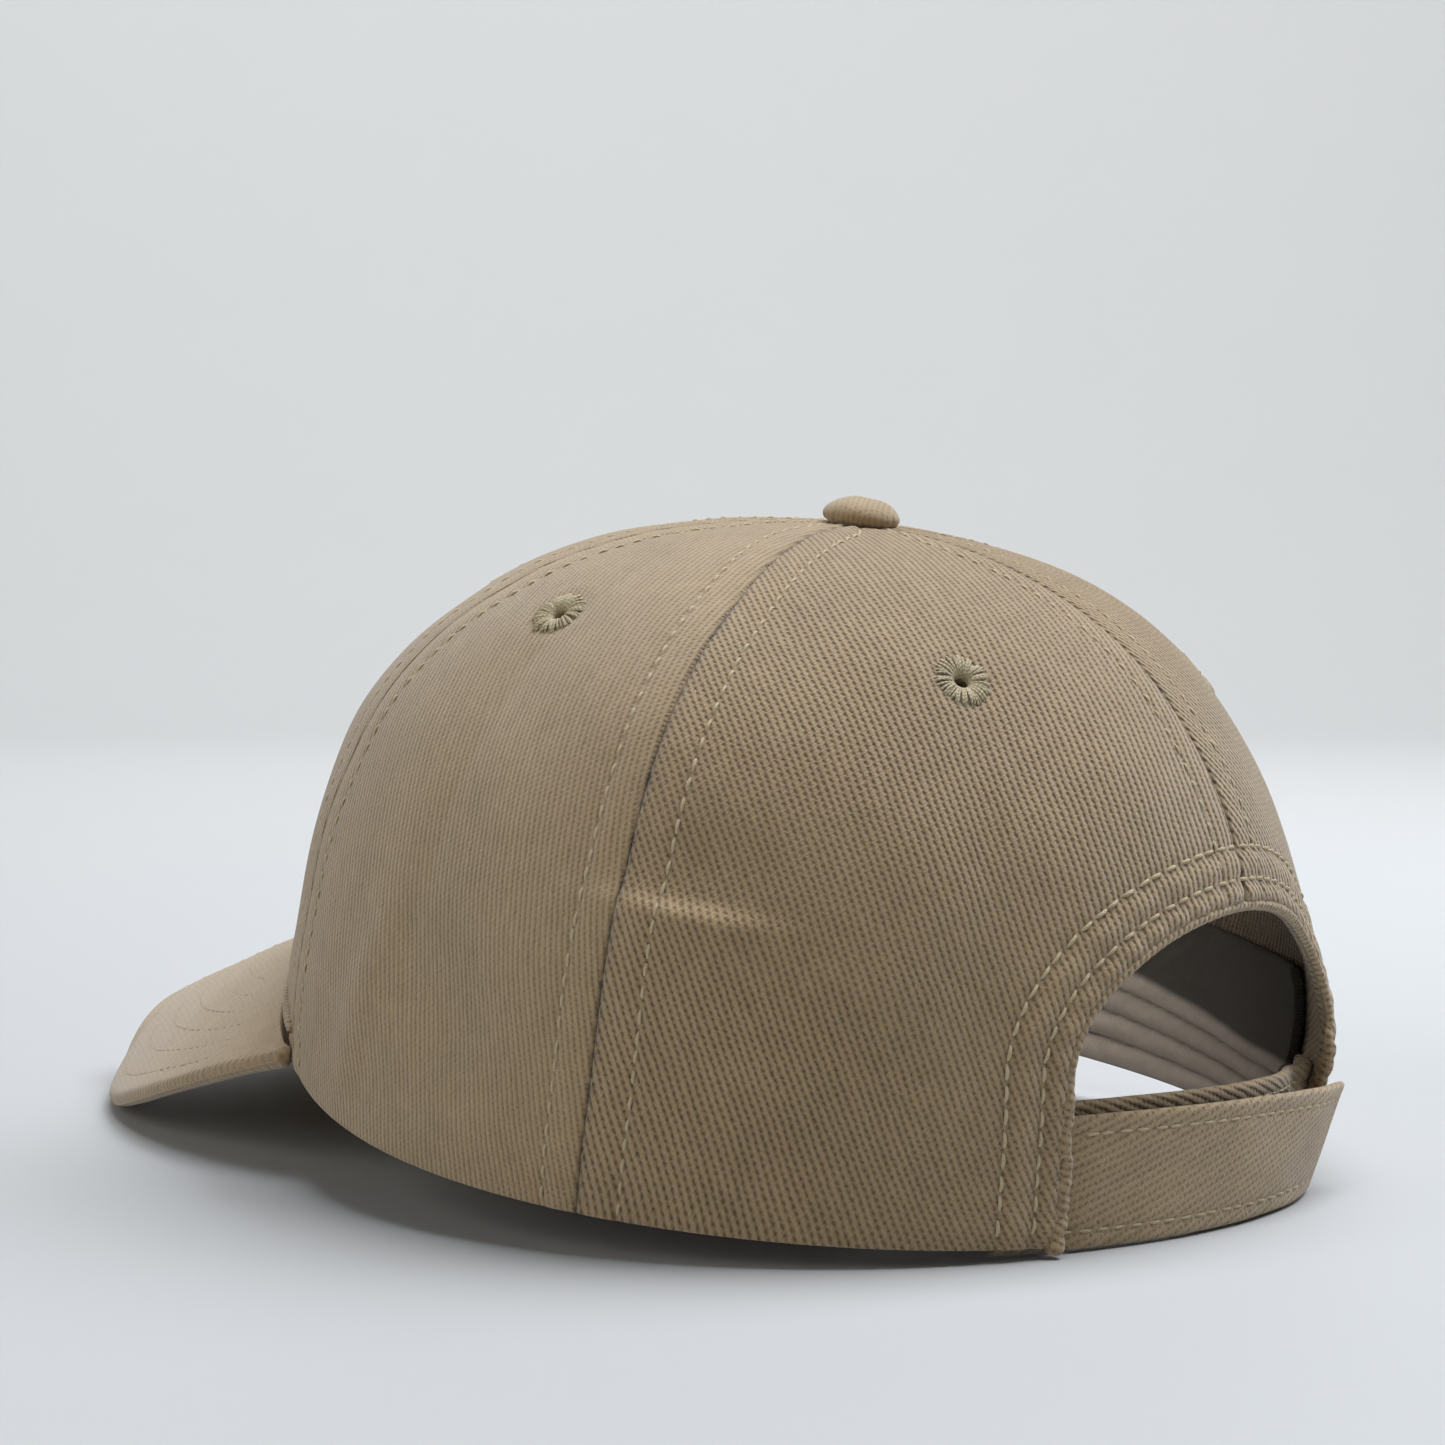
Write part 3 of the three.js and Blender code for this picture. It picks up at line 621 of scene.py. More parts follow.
def mesh_lining(name):
    """Stiffened open mesh: dark cells between pale, resin-coated yarns."""
    n = Nodes(name)
    u, v = n.cloth_axes()
    cells = [n.math("ABSOLUTE", n.math("SINE", n.math("MULTIPLY", axis, math.pi / 0.95))) for axis in (u, v)]
    open_cell = n.math("MULTIPLY", *cells)
    speckle = n.noise(n.vector(u, v), 1.7, 3.0, 0.75)
    tone = n.sum(n.math("SUBTRACT", 1.0, open_cell), n.scaled(speckle, 0.9, -0.45))
    n.color(n.ramp(tone, (0.1, (0.058, 0.050, 0.043)), (0.9, (0.34, 0.305, 0.265))))
    n.surface(0.75, specular=0.3)
    n.bump(tone, 0.2)
    return n.material


def thread_material(name, dark, light, gloss=0.62):
    """Twisted sewing thread."""
    n = Nodes(name)
    u, v = n.cloth_axes()
    ply = n.math("SINE", n.sum(n.math("MULTIPLY", u, 9.0), n.math("MULTIPLY", v, 6.3)))
    fibre = n.noise(n.object_space(), 4.0, 3.0, 0.7)
    tone = n.sum(n.scaled(ply, 0.22, 0.4), n.scaled(fibre, 0.5, -0.15))
    n.color(n.ramp(tone, (0.1, dark), (0.9, light)))
    n.surface(gloss, sheen=0.1, specular=0.35)
    n.bump(tone, 0.08)
    return n.material


def bristle_material(name, dark, light, scale):
    """The face of a hook or loop tape: a dense field of fine fibres."""
    n = Nodes(name)
    u, v = n.cloth_axes()
    flat = n.vector(u, v)
    tuft = n.add("ShaderNodeTexVoronoi")
    n.link(flat, tuft.inputs["Vector"])
    tuft.inputs["Scale"].default_value = scale
    fuzz = n.noise(flat, 3.0, 4.0, 0.7)
    tone = n.sum(tuft.outputs["Distance"], n.scaled(fuzz, 0.6, -0.3))
    n.color(n.ramp(tone, (0.0, light), (0.8, dark)))
    n.surface(0.85, sheen=0.2, specular=0.2)
    n.bump(tone, 0.35)
    return n.material


def board_material(name):
    """Pressed plastic board with a faint pebbled face."""
    n = Nodes(name)
    pebble = n.noise(n.object_space(), 1.1, 3.0)
    n.color(n.ramp(pebble, (0.3, (0.58, 0.56, 0.50)), (0.7, (0.68, 0.66, 0.60))))
    n.surface(n.scaled(pebble, 0.3, 0.4), specular=0.4)
    n.bump(pebble, 0.08)
    return n.material


def metal_material(name):
    """Tin-plated steel with fine scuffs and dull stains."""
    n = Nodes(name)
    place = n.object_space()
    scuff = n.noise(place, 3.5, 4.0, 0.7)
    stain = n.noise(place, 0.5, 3.0)
    n.color(n.ramp(stain, (0.3, (0.46, 0.46, 0.45)), (0.75, (0.66, 0.66, 0.64))))
    n.surface(n.sum(n.scaled(scuff, 0.35, 0.2), n.scaled(stain, 0.15)), specular=0.5, metallic=1.0)
    n.bump(scuff, 0.03)
    return n.material


BACK_TWILL = twill("back_twill", 107, pitch=1.32, tint=(0.97, 0.95, 0.92), contrast=1.08, depth=0.38,
                   notch_run=1.05)
SIDE_TWILL = twill("side_twill", 106, pitch=1.05, contrast=0.62, depth=0.24, notch_run=0.95)
STRAP_TWILL = twill("strap_twill", 22, pitch=1.32, contrast=0.68, depth=0.26)
VISOR_TWILL = twill("visor_twill", 118, pitch=1.10, contrast=0.40, depth=0.12)
EDGE_TWILL = twill("folded_twill", 64, pitch=1.2, contrast=0.9, depth=0.3)
LINING = mesh_lining("stiff_mesh")
TAPE = plain_weave("seam_tape_weave", (0.105, 0.092, 0.078), (0.24, 0.215, 0.185))
BAND = plain_weave("sweatband_weave", (0.33, 0.28, 0.235), (0.52, 0.45, 0.385), pitch=0.5)
THREAD = thread_material("khaki_thread", (0.34, 0.265, 0.145), (0.72, 0.60, 0.385))
EYELET_THREAD = thread_material("eyelet_thread", (0.24, 0.19, 0.105), (0.62, 0.53, 0.345), gloss=0.55)
VISOR_THREAD = thread_material("visor_thread", (0.38, 0.305, 0.205), (0.54, 0.45, 0.325))
BAND_THREAD = thread_material("sweatband_thread", (0.14, 0.12, 0.10), (0.34, 0.30, 0.26))
HOOKS = bristle_material("hook_tape_face", (0.05, 0.045, 0.038), (0.22, 0.20, 0.165), 1.1)
LOOPS = bristle_material("loop_tape_face", (0.018, 0.017, 0.016), (0.075, 0.07, 0.065), 0.8)
BOARD = board_material("board_plastic")
METAL = metal_material("plated_metal")

# ---- stitches --------------------------------------------------------------------------------------

RING = np.linspace(0, 2 * np.pi, 7)[:-1]


def run_length(path):
    return np.concatenate([[0], np.cumsum(np.linalg.norm(np.diff(path, axis=0), axis=1))])


def sample(path, run, places):
    return np.stack([np.interp(places, run, path[:, k]) for k in range(path.shape[1])], -1)


def sew(builder, path, normals, seed, pitch=STITCH_PITCH, share=0.84, radius=0.27, lift=0.30, start=0.6):
    """Lays stitches along a path: short threads that rise out of the cloth and dive back into it."""
    rng = np.random.default_rng(seed)
    run = run_length(path)
    first = np.arange(start, run[-1] - pitch, pitch)
    first = first + rng.uniform(-0.12, 0.12, len(first)) * pitch
    part = np.linspace(0, 1, 8)
    places = first[:, None] + part[None, :] * pitch * share
    centre = sample(path, run, places.ravel()).reshape(len(first), len(part), 3)
    normal = unit(sample(normals, run, places.ravel()).reshape(centre.shape))
    tangent = unit(np.gradient(centre, axis=1))
    side = unit(np.cross(tangent, normal))
    drift = rng.normal(0, 0.12, len(first))[:, None] * (part - 0.5)[None, :]
    arch = np.sin(np.pi * part)
    rise = -radius * 0.9 * (1 - arch) + lift * arch + rng.uniform(-0.05, 0.05, len(first))[:, None]
    centre = centre + normal * rise[..., None] + side * drift[..., None]
    width = radius * (0.45 + 0.55 * arch ** 0.5)
    around = (np.cos(RING)[None, None, :, None] * side[:, :, None] * 1.15
              + np.sin(RING)[None, None, :, None] * normal[:, :, None])
    points = centre[:, :, None] + around * width[None, :, None, None]
    count, rings, sides = points.shape[:3]
    uv = np.stack(np.broadcast_arrays(places[:, :, None], RING[None, None, :]), -1)
    index = builder.add(points, uv) + np.arange(count * rings * sides).reshape(count, rings, sides)
    turned = np.roll(index, -1, 2)
    corners = (index[:, :-1], turned[:, :-1], turned[:, 1:], index[:, 1:])
    builder.faces.append(np.stack(corners, -1).reshape(-1, 4))
    for end in (0, -1):
        cap = index[:, end]
        builder.faces.append(cap[:, [0, 1, 2, 3]])
        builder.faces.append(cap[:, [0, 3, 4, 5]])


def tube(builder, path, radii, sides, twist=None, normals=None):
    """A closed tube along a path; radii is one (across, out) pair per point."""
    path = np.asarray(path, float)
    tangent = unit(np.gradient(path, axis=0))
    if normals is None:
        normals = np.broadcast_to([0.0, 0.0, 1.0], path.shape)
    side = unit(np.cross(tangent, normals))
    out = unit(np.cross(side, tangent))
    turn = np.linspace(0, 2 * np.pi, sides, endpoint=False)
    radii = np.broadcast_to(np.asarray(radii, float), (len(path), 2))
    swell = np.ones((len(path), sides)) if twist is None else twist(run_length(path)[:, None], turn[None, :])
    points = (path[:, None] + side[:, None] * (radii[:, :1] * np.cos(turn) * swell)[..., None]
              + out[:, None] * (radii[:, 1:] * np.sin(turn) * swell)[..., None])
    run = run_length(path)
    uvs = np.stack(np.broadcast_arrays(run[:, None], turn[None, :] * radii[0].mean()), -1)
    index = builder.grid(points, uvs, wrap=True)
    for end, centre in ((index[0], path[0]), (index[-1], path[-1])):
        middle = builder.add(centre[None])
        following = np.roll(end, -1)
        builder.faces.append(np.stack([np.full(sides, middle), end, following], -1))


# ---- crown panels ----------------------------------------------------------------------------------

PANEL_SPANS = {"front": (0.0, FRONT_SEAM), "side": (FRONT_SEAM, BACK_SEAM), "back": (BACK_SEAM, math.pi)}
PANEL_COLUMNS = {"front": 86, "side": 78, "back": 118}
# Each eyelet's place on its panel, as crown parameters.
EYELETS = {
    "front": (FRONT_SEAM / 2, 0.53),
    "side": (math.radians(75), 0.54),
    "back": (math.radians(141.3), 0.555),
}
EYELET_HOLE = 2.0
CROWN_ROWS = panel_rows(185)


def inside_opening(points):
    x, z = points[..., 0], points[..., 2]
    half, spring, rise = OPENING["half"], OPENING["spring"], OPENING["rise"]
    arch = (x / half) ** 2 + ((z - spring) / rise) ** 2 < 1
    return (points[..., 1] > FRAME_SHIFT) & np.where(z < spring, np.abs(x) < half, arch)


def nearest_arch(points):
    """For crown points: distance from the opening's edge, run along that edge and the nearest edge point."""
    flat = points[..., [0, 2]].reshape(-1, 2)
    run = run_length(ARCH)
    best = np.full(len(flat), 1e9)
    which = np.zeros(len(flat), int)
    for k, corner in enumerate(ARCH):
        far = np.hypot(*(flat - corner).T)
        closer = far < best
        best[closer] = far[closer]
        which[closer] = k
    shape = points.shape[:-1]
    return best.reshape(shape), run[which].reshape(shape), ARCH[which].reshape(*shape, 2)


ARCH_ROWS = (4.0, 9.2)


def arch_relief(distance, along):
    """The folded and twice stitched border of the opening."""
    pucker = 0.7 + 0.3 * np.cos(2 * np.pi * along / STITCH_PITCH)
    rows = -0.42 * pucker * sum(bell(distance - row, 0.7) for row in ARCH_ROWS)
    folds = 0.34 * bell(distance - 1.9, 1.2) + 0.34 * bell(distance - 6.6, 1.7)
    slack = 0.16 * np.sin(2 * np.pi * along / 5.1 + 0.8 * distance) * bell(distance - 1.6, 1.8)
    slack += 0.12 * np.sin(2 * np.pi * along / 7.3 + 0.5 * distance) * bell(distance - 6.6, 2.0)
    return rows + folds + slack - edge_round(distance, 0.7)


def eyelet_relief(base, phi, t):
    """The cloth pulled down under an embroidered eyelet, and the distance from its middle."""
    far = np.linalg.norm(base - crown(phi, t), axis=-1)
    return -0.30 * bell(far, 4.4) + 0.16 * bell(far - 6.8, 1.8), far


# How far inside the opening a vertex is still moved onto its edge.
ARCH_SNAP = 3.0


def make_panel(kind, side, sign):
    """One crown panel with its seam edges, its eyelet hole and, at the back, its share of the opening."""
    low, high = sorted(angle * sign for angle in PANEL_SPANS[kind])
    t = CROWN_ROWS[:, None]
    phi, offsets, width, squeeze = panel_columns(low, high, CROWN_ROWS, PANEL_COLUMNS[kind])
    t = np.broadcast_to(t, phi.shape)
    base = crown(phi, t)
    across = row_lengths(base)
    up = np.broadcast_to(column_length(base)[:, None], across.shape)
    keep = np.ones((phi.shape[0] - 1, phi.shape[1] - 1), bool)
    relief = panel_relief(phi, t, base, offsets, width, squeeze)
    eye_phi, eye_t = EYELETS[kind][0] * sign, EYELETS[kind][1]
    pull, far = eyelet_relief(base, eye_phi, eye_t)
    keep &= cell_mean(far) > EYELET_HOLE
    if kind == "back":
        inside = inside_opening(base)
        keep &= ~(inside[:-1, :-1] & inside[1:, :-1] & inside[:-1, 1:] & inside[1:, 1:])
        distance, run, target = nearest_arch(base)
        move = inside & (distance < ARCH_SNAP)
        new_phi, new_t = backward(target[move])
        phi, t = phi.copy(), t.copy()
        old = base[move]
        phi[move], t[move] = new_phi, new_t
        base = crown(phi, t)
        shift = base[move] - old
        across[move] += shift[:, 0] * -np.sign(base[move][:, 1])
        up = up.copy()
        up[move] += shift[:, 2]
        distance[move] = 0
        pull = pull + arch_relief(distance, run)
    normal = crown_normal(phi, t)
    lift = relief["outer"] + pull
    outer = base + normal * lift[..., None]
    inner = base - normal * (CLOTH - relief["inner"] - 0.25 * pull)[..., None]
    builder = Builder()
    grain = 0.30 * up - 0.0019 * up ** 2 if kind == "back" else 0.0
    uvs = np.stack([across + grain, up], -1)
    turn = degrees_round(phi)
    # A painted highlight along the crest of the crease, painted shade and light that follow the eyelet's dip and
    # the opening's folds, and painted shade on the unlined inside.
    painted_crease_highlight = bell(turn - CREASE["middle"], 6.5) * bell(below_line(turn, base[..., 2], CREASE) - 0.3, 1.5)
    painted_light_and_shade = relief["painted_light_and_shade"] + np.clip(pull, -0.4, 0.4) + 1.5 * painted_crease_highlight
    slab(builder, outer, inner, uvs, keep, painted_light_and_shade, np.where(inward_fold(kind, base), painted_light_and_shade, INSIDE_SHADE))
    material = BACK_TWILL if kind == "back" else SIDE_TWILL
    builder.make(f"{kind}_panel_cloth_{side}", material, CROWN, [f"{kind}_panel_{side}"])


def inward_fold(kind, points):
    """Cloth near the back opening, whose inside keeps the khaki of its face instead of the painted shade of the
    rest of the inside.
    """
    return (nearest_arch(points)[0] < ARCH_SNAP) if kind == "back" else np.zeros(points.shape[:2], bool)


def cell_mean(values):
    return (values[:-1, :-1] + values[1:, :-1] + values[:-1, 1:] + values[1:, 1:]) / 4


def backward(flat):
    return back_parameters(flat[:, 0], np.maximum(flat[:, 1], 0.0))


# ---- layers under the crown ------------------------------------------------------------------------


# Depths of the two faces of each layer under the crown's outer face.
LINING_FACES = (1.6, 2.2)
TAPE_FACES = (1.6, 2.28)
FACING_FACES = (1.6, 2.35)
SEAM_ALLOWANCE = 7.0


def make_linings():
    """The stiff mesh behind each front panel, between its seam allowances."""
    rows = np.linspace(0.02, 0.8, 90)
    for side, sign in SIDES:
        low, high = sorted((0.0, FRONT_SEAM * sign))
        edge = SEAM_ALLOWANCE / span(np.full(rows.shape, FRONT_SEAM / 2), rows)
        share = np.linspace(0, 1, 50)
        phi = (low + edge)[:, None] * (1 - share) + (high - edge)[:, None] * share
        builder = Builder()
        t = np.broadcast_to(rows[:, None], phi.shape)
        eyelet = crown(EYELETS["front"][0] * sign, EYELETS["front"][1])
        keep = cell_mean(np.linalg.norm(crown(phi, t) - eyelet, axis=-1)) > 3.4
        outer, inner = (cloth_point(phi, t, depth) for depth in LINING_FACES)
        up = np.broadcast_to(column_length(outer)[:, None], phi.shape)
        slab(builder, outer, inner, np.stack([row_lengths(outer), up], -1), keep)
        builder.make(f"buckram_mesh_{side}", LINING, CROWN, [f"buckram_{side}"])


TAPE_HALF = 5.5
TAPE_ROW = 4.1


def make_tape(name, phi, start):
    """Folded seam tape with a row of stitches along each edge."""
    rows = np.linspace(start, 0.93, 160)
    half = np.array([0.6, 1.8, 3, 3.8, 4.4, 5, 5.35, TAPE_HALF])
    offsets = np.concatenate([-half[::-1], half])
    angles = phi + offsets[None, :] / span(np.full(rows.shape, phi), rows)[:, None]
    t = np.broadcast_to(rows[:, None], angles.shape)
    run = column_length(crown(angles, t))[:, None]
    edge = edge_round(TAPE_HALF - np.abs(offsets), 0.34)[None, :]
    pucker = 0.6 + 0.4 * np.cos(2 * np.pi * run / STITCH_PITCH)
    rows_of_stitches = 0.22 * bell(np.abs(offsets) - TAPE_ROW, 0.6)[None, :] * pucker
    swell = 0.25 * np.cos(offsets * np.pi / (2 * TAPE_HALF))[None, :] - rows_of_stitches
    builder = Builder()
    outer = cloth_point(angles, t, TAPE_FACES[0] + edge)
    inner = cloth_point(angles, t, TAPE_FACES[1] - edge + swell)
    slab(builder, outer, inner, np.stack(np.broadcast_arrays(offsets[None, :], run), -1))
    builder.make(f"{name}_cloth", TAPE, CROWN, [name])
    for sign in (-1, 1):
        column = int(np.argmin(np.abs(offsets - TAPE_ROW * sign)))
        yield inner[:, column], -crown_normal(angles[:, column], rows)


BAND_DEPTH = 2.95
BAND_CLOTH = 0.9
BAND_LOW, BAND_HIGH = 0.6, 35.0
BAND_PAD = 1.75
CHANNELS = 4
CHANNEL_RISE = 6.1


def channel_scale(phi):
    """The quilted rows draw together towards the band's back ends."""
    turn = np.abs(degrees_round(phi))
    share = np.clip((turn - 80) / 55, 0, 1)
    return 1 - 0.36 * share * share * (3 - 2 * share)


def make_sweatband():
    """The padded inner band: four quilted channels under a plain strip darkened with painted shade, with folded
    edges.
    """
    end_phi = float(back_parameters(52.0, 15.0)[0])
    heights = np.concatenate([[BAND_LOW, 0.7, 0.95, 1.3], np.linspace(1.7, 33.8, 88),
                              [34.3, 34.7, 34.93, BAND_HIGH]])
    phi = np.linspace(-end_phi, end_phi, 520)
    phi, height = np.meshgrid(phi, heights)
    t = at_height(phi, height)
    edge = edge_round(np.minimum(height - BAND_LOW, BAND_HIGH - height), 0.7)
    row = (height - BAND_LOW) / (CHANNEL_RISE * channel_scale(phi))
    quilted = np.clip((CHANNELS - row) * 4, 0, 1)
    channel = quilted * np.abs(np.sin(np.pi * np.minimum(row, CHANNELS))) ** 0.62 + (1 - quilted) * 0.42
    run = row_lengths(crown(phi, t))
    slack = 0.25 * np.sin(run / 9.0 + 1.3 * np.sin(height / 7)) + 0.2 * np.sin(run / 3.7 + height)
    pad = channel * (BAND_PAD + slack * 0.5)
    sag = np.clip(0.35 * np.sin(run / 21.0) * np.clip((height - 20) / 15, 0, 1), 0, 1)
    outer = cloth_point(phi, t, BAND_DEPTH + edge + sag)
    inner = cloth_point(phi, t, BAND_DEPTH + BAND_CLOTH + pad - edge + sag)
    builder = Builder()
    # Painted shade in the creases between the channels and a little painted light on their crowns; heavy painted
    # shade over the plain strip above them.
    shade = quilted * (0.3 - 2.6 * (1 - channel) ** 2) - 2.6 * (1 - quilted)
    slab(builder, outer, inner, np.stack([run, height], -1), relief=shade)
    band = builder.make("sweatband_quilted", BAND, CROWN, ["sweatband"])
    stitches = Builder()
    for number in range(CHANNELS):
        line = BAND_LOW + (number + 1) * CHANNEL_RISE * channel_scale(phi[0])
        level = at_height(phi[0], line)
        path = cloth_point(phi[0], level, BAND_DEPTH + 1.0)
        sew(stitches, path, -crown_normal(phi[0], level), 300 + number, pitch=3.0, radius=0.2, lift=0.1)
    stitches.make("sweatband_stitching", BAND_THREAD, CROWN)


def arch_ring(offset, path):
    """The outline grown outwards by an offset, as crown parameters."""
    tangent = unit(np.gradient(path, axis=0))
    outward = np.stack([tangent[:, 1], -tangent[:, 0]], -1)
    grown = path + outward * offset
    return back_parameters(grown[:, 0], np.maximum(grown[:, 1], LOWEST_CROWN))


FACING_EDGES = (0.35, 11.95)
LOWEST_CROWN = 0.4


def make_facing():
    """The strip of twill that lines the opening's edge on the inside."""
    path = arch_path(150, 1.5)
    near, far = FACING_EDGES
    offsets = np.concatenate([[near, 0.5, 0.8, 1.3], np.linspace(2, 11, 16), [11.4, 11.7, 11.85, far]])
    grids = [arch_ring(offset, path) for offset in offsets]
    phi = np.stack([g[0] for g in grids])
    t = np.stack([g[1] for g in grids])
    edge = edge_round(np.minimum(offsets - near, far - offsets), 0.4)[:, None]
    run = run_length(path)[None, :]
    wave = 0.1 * np.sin(run / 2.2) + 0.15 * bell(offsets[:, None] - 7, 2.4)
    outer = cloth_point(phi, t, FACING_FACES[0] + edge)
    inner = cloth_point(phi, t, FACING_FACES[1] + wave - edge)
    builder = Builder()
    slab(builder, outer, inner, np.stack(np.broadcast_arrays(run, offsets[:, None]), -1))
    builder.make("opening_facing_cloth", EDGE_TWILL, CROWN, ["opening_facing"])


def rope(pitch, depth):
    """Ridges that wind round a rolled edge like the strands of a rope."""
    return lambda run, turn: 1 + depth * np.abs(np.sin(np.pi * run / pitch + turn / 2)) ** 0.7 - depth * 0.6


def edge_path(path, offset, depth):
    """Points and normals of the draped crown along the outline, kept at the outline's own heights."""
    phi, t = arch_ring(offset, path)
    points = cloth_point(phi, t, depth)
    points[:, 2] += path[:, 1] - np.maximum(path[:, 1], LOWEST_CROWN)
    return points, crown_normal(phi, t)


def make_opening_edge():
    """The folded border of the arch, and the thicker rolled hem on each upright edge."""
    whole = arch_path(300)
    upright = whole[:, 1] <= OPENING["spring"] + 6.0
    arch = whole[whole[:, 1] >= OPENING["spring"] - 2.0]
    points, normals = edge_path(arch, -0.15, 1.08)
    builder = Builder()
    tube(builder, points, (0.95, 1.22), 20, normals=normals, twist=rope(2.1, 0.10))
    builder.make("opening_border_roll", EDGE_TWILL, CROWN)
    for side, sign in SIDES:
        half = whole[upright & (whole[:, 0] * sign > 0)]
        half = half[np.argsort(half[:, 1])]
        climb = np.linspace(0.9, OPENING["spring"] + 4.5, 90)
        phi, t = back_parameters(np.interp(climb, half[:, 1], half[:, 0]) - 0.15 * sign, np.maximum(climb, 4.0))
        points = cloth_point(phi, t, 0.95)
        points[:, 2] = climb
        points[:, 0] += 0.35 * np.sin(climb / 3.1 + sign) + 0.2 * np.sin(climb / 1.3)
        taper = np.clip((OPENING["spring"] + 5.5 - climb) / 9, 0.55, 1) * np.clip(0.8 + climb / 8, 0, 1)
        taper = taper * (1 + 0.10 * np.sin(climb / 2.3 + 2 * sign) + 0.16 * bell(climb - 5, 4))
        radii = np.stack([1.30 * taper, 1.38 * taper], -1)
        builder = Builder()
        tube(builder, points, radii, 24, normals=crown_normal(phi, t), twist=rope(3.3, 0.26))
        builder.make(f"opening_hem_roll_{side}", EDGE_TWILL, CROWN, [f"opening_hem_{side}"])


# ---- stitches of the crown -------------------------------------------------------------------------


def seam_stitch_path(kind, edge, sign):
    """The line of topstitches inside one panel beside one of its seams."""
    low, high = PANEL_SPANS[kind]
    _, _, width, squeeze = panel_columns(low, high, CROWN_ROWS, 4)
    offset = STITCH_SET * squeeze / ((span(low, CROWN_ROWS) + span(high, CROWN_ROWS)) / 2)
    phi = (low + offset if edge == "low" else high - offset) * sign
    base = crown(phi, CROWN_ROWS)
    normal = crown_normal(phi, CROWN_ROWS)
    points = base + normal * (cloth_offset(phi, CROWN_ROWS, base) - 0.24)[:, None]
    if kind == "back":
        distance, _, _ = nearest_arch(base)
        open_from = np.where(inside_opening(base) | (distance < 4.5))[0]
        start = open_from.max() + 1 if edge == "high" and len(open_from) else 2
    else:
        start = 2
    stop = int(np.argmax(CROWN_ROWS > 0.955))
    return points[start:stop], normal[start:stop]


def make_crown_stitching():
    """Two rows of topstitches at each crown seam and two round the opening."""
    builder = Builder()
    seed = 20
    for _, sign in SIDES:
        for kind in PANEL_SPANS:
            for edge in ("low", "high"):
                seed += 1
                sew(builder, *seam_stitch_path(kind, edge, sign), seed)
    for offset in ARCH_ROWS:
        seed += 1
        path = arch_path(300, 1.0)
        phi, t = arch_ring(offset, path)
        sew(builder, cloth_point(phi, t, 0.22), crown_normal(phi, t), seed, radius=0.28, lift=0.32, start=1.4)
    builder.make("crown_stitching", THREAD, CROWN)


def make_seam_tapes():
    """Tapes over the six seams; the back one ends above the opening."""
    top = float(at_height(math.pi, OPENING["spring"] + OPENING["rise"] + 15))
    tapes = [("seam_tape_front", 0.0, 0.02), ("seam_tape_back", math.pi, top)]
    for side, sign in SIDES:
        tapes.append((f"seam_tape_front_side_{side}", FRONT_SEAM * sign, 0.02))
        tapes.append((f"seam_tape_back_side_{side}", BACK_SEAM * sign, 0.02))
    stitches = Builder()
    seed = 100
    for name, phi, start in tapes:
        for path, normals in make_tape(name, phi, start):
            seed += 1
            sew(stitches, path, normals, seed, radius=0.22, lift=0.12)
    stitches.make("seam_tape_stitching", THREAD, CROWN)


# ---- eyelets and button ----------------------------------------------------------------------------


EYELET_THREADS = 62
# Radius and height of one thread's path, and its thickness, from the hole outwards.
THREAD_RADIUS = np.array([1.28, 1.20, 1.45, 1.95, 2.8, 3.8, 4.6, 5.1])
THREAD_HEIGHT = np.array([-1.6, -0.8, -0.10, 0.34, 0.60, 0.60, 0.38, -0.08])
THREAD_WIDTH = np.array([0.09, 0.10, 0.12, 0.16, 0.21, 0.24, 0.22, 0.12])


def make_eyelet(kind, side, sign, seed):
    """A worked eyelet: radial threads of uneven length that dive into a small dark hole."""
    rng = np.random.default_rng(seed)
    phi, t = EYELETS[kind][0] * sign, EYELETS[kind][1]
    base = crown(phi, t)
    normal = crown_normal(phi, t)
    lift = float(cloth_offset(np.array(phi), np.array(t), base)) - 0.3
    side_axis = unit(np.cross([0.0, 0.0, 1.0], normal))
    axes, origin = np.stack([side_axis, np.cross(normal, side_axis), normal], -1), base + normal * lift
    builder = Builder()
    for k in range(EYELET_THREADS):
        angle = 2 * np.pi * (k + rng.uniform(-0.22, 0.22)) / EYELET_THREADS
        reach = 1 + rng.normal(0, 0.075)
        height = 1 + rng.normal(0, 0.14)
        sweep = rng.normal(0, 0.03)
        radius = THREAD_RADIUS.copy()
        radius[3:] = 1.9 + (THREAD_RADIUS[3:] - 1.9) * reach
        turn = angle + sweep * (radius - 1.2)
        path = np.stack([radius * np.cos(turn), radius * np.sin(turn), THREAD_HEIGHT * height], -1)
        tube(builder, path @ axes.T + origin, np.stack([THREAD_WIDTH, THREAD_WIDTH * 0.9], -1), 6,
             normals=np.broadcast_to(normal, path.shape))
    ring = np.linspace(0, 2 * np.pi, 49)
    section = [(1.24, -1.6), (1.24, -0.5), (1.9, 0.1), (4.0, 0.30), (4.6, 0.02), (4.5, -0.2), (2.3, -0.25),
               (1.9, -0.5), (1.85, -1.5), (4.0, -1.62), (4.2, -1.85), (3.8, -2.05), (1.3, -2.05)]
    if kind == "front":
        section = [(r, h - 1.5 if h < -1.3 else h) for r, h in section]
    radius, height = np.array(section + section[:1]).T
    body = np.stack([radius[:, None] * np.cos(ring), radius[:, None] * np.sin(ring),
                     np.broadcast_to(height[:, None], (len(height), 49))], -1)
    uv = np.stack(np.broadcast_arrays(ring[None, :] * 4, radius[:, None]), -1)
    builder.grid(body @ axes.T + origin, uv)
    builder.make(f"eyelet_threads_{kind}_{side}", EYELET_THREAD, CROWN, [f"eyelet_{kind}_{side}"])


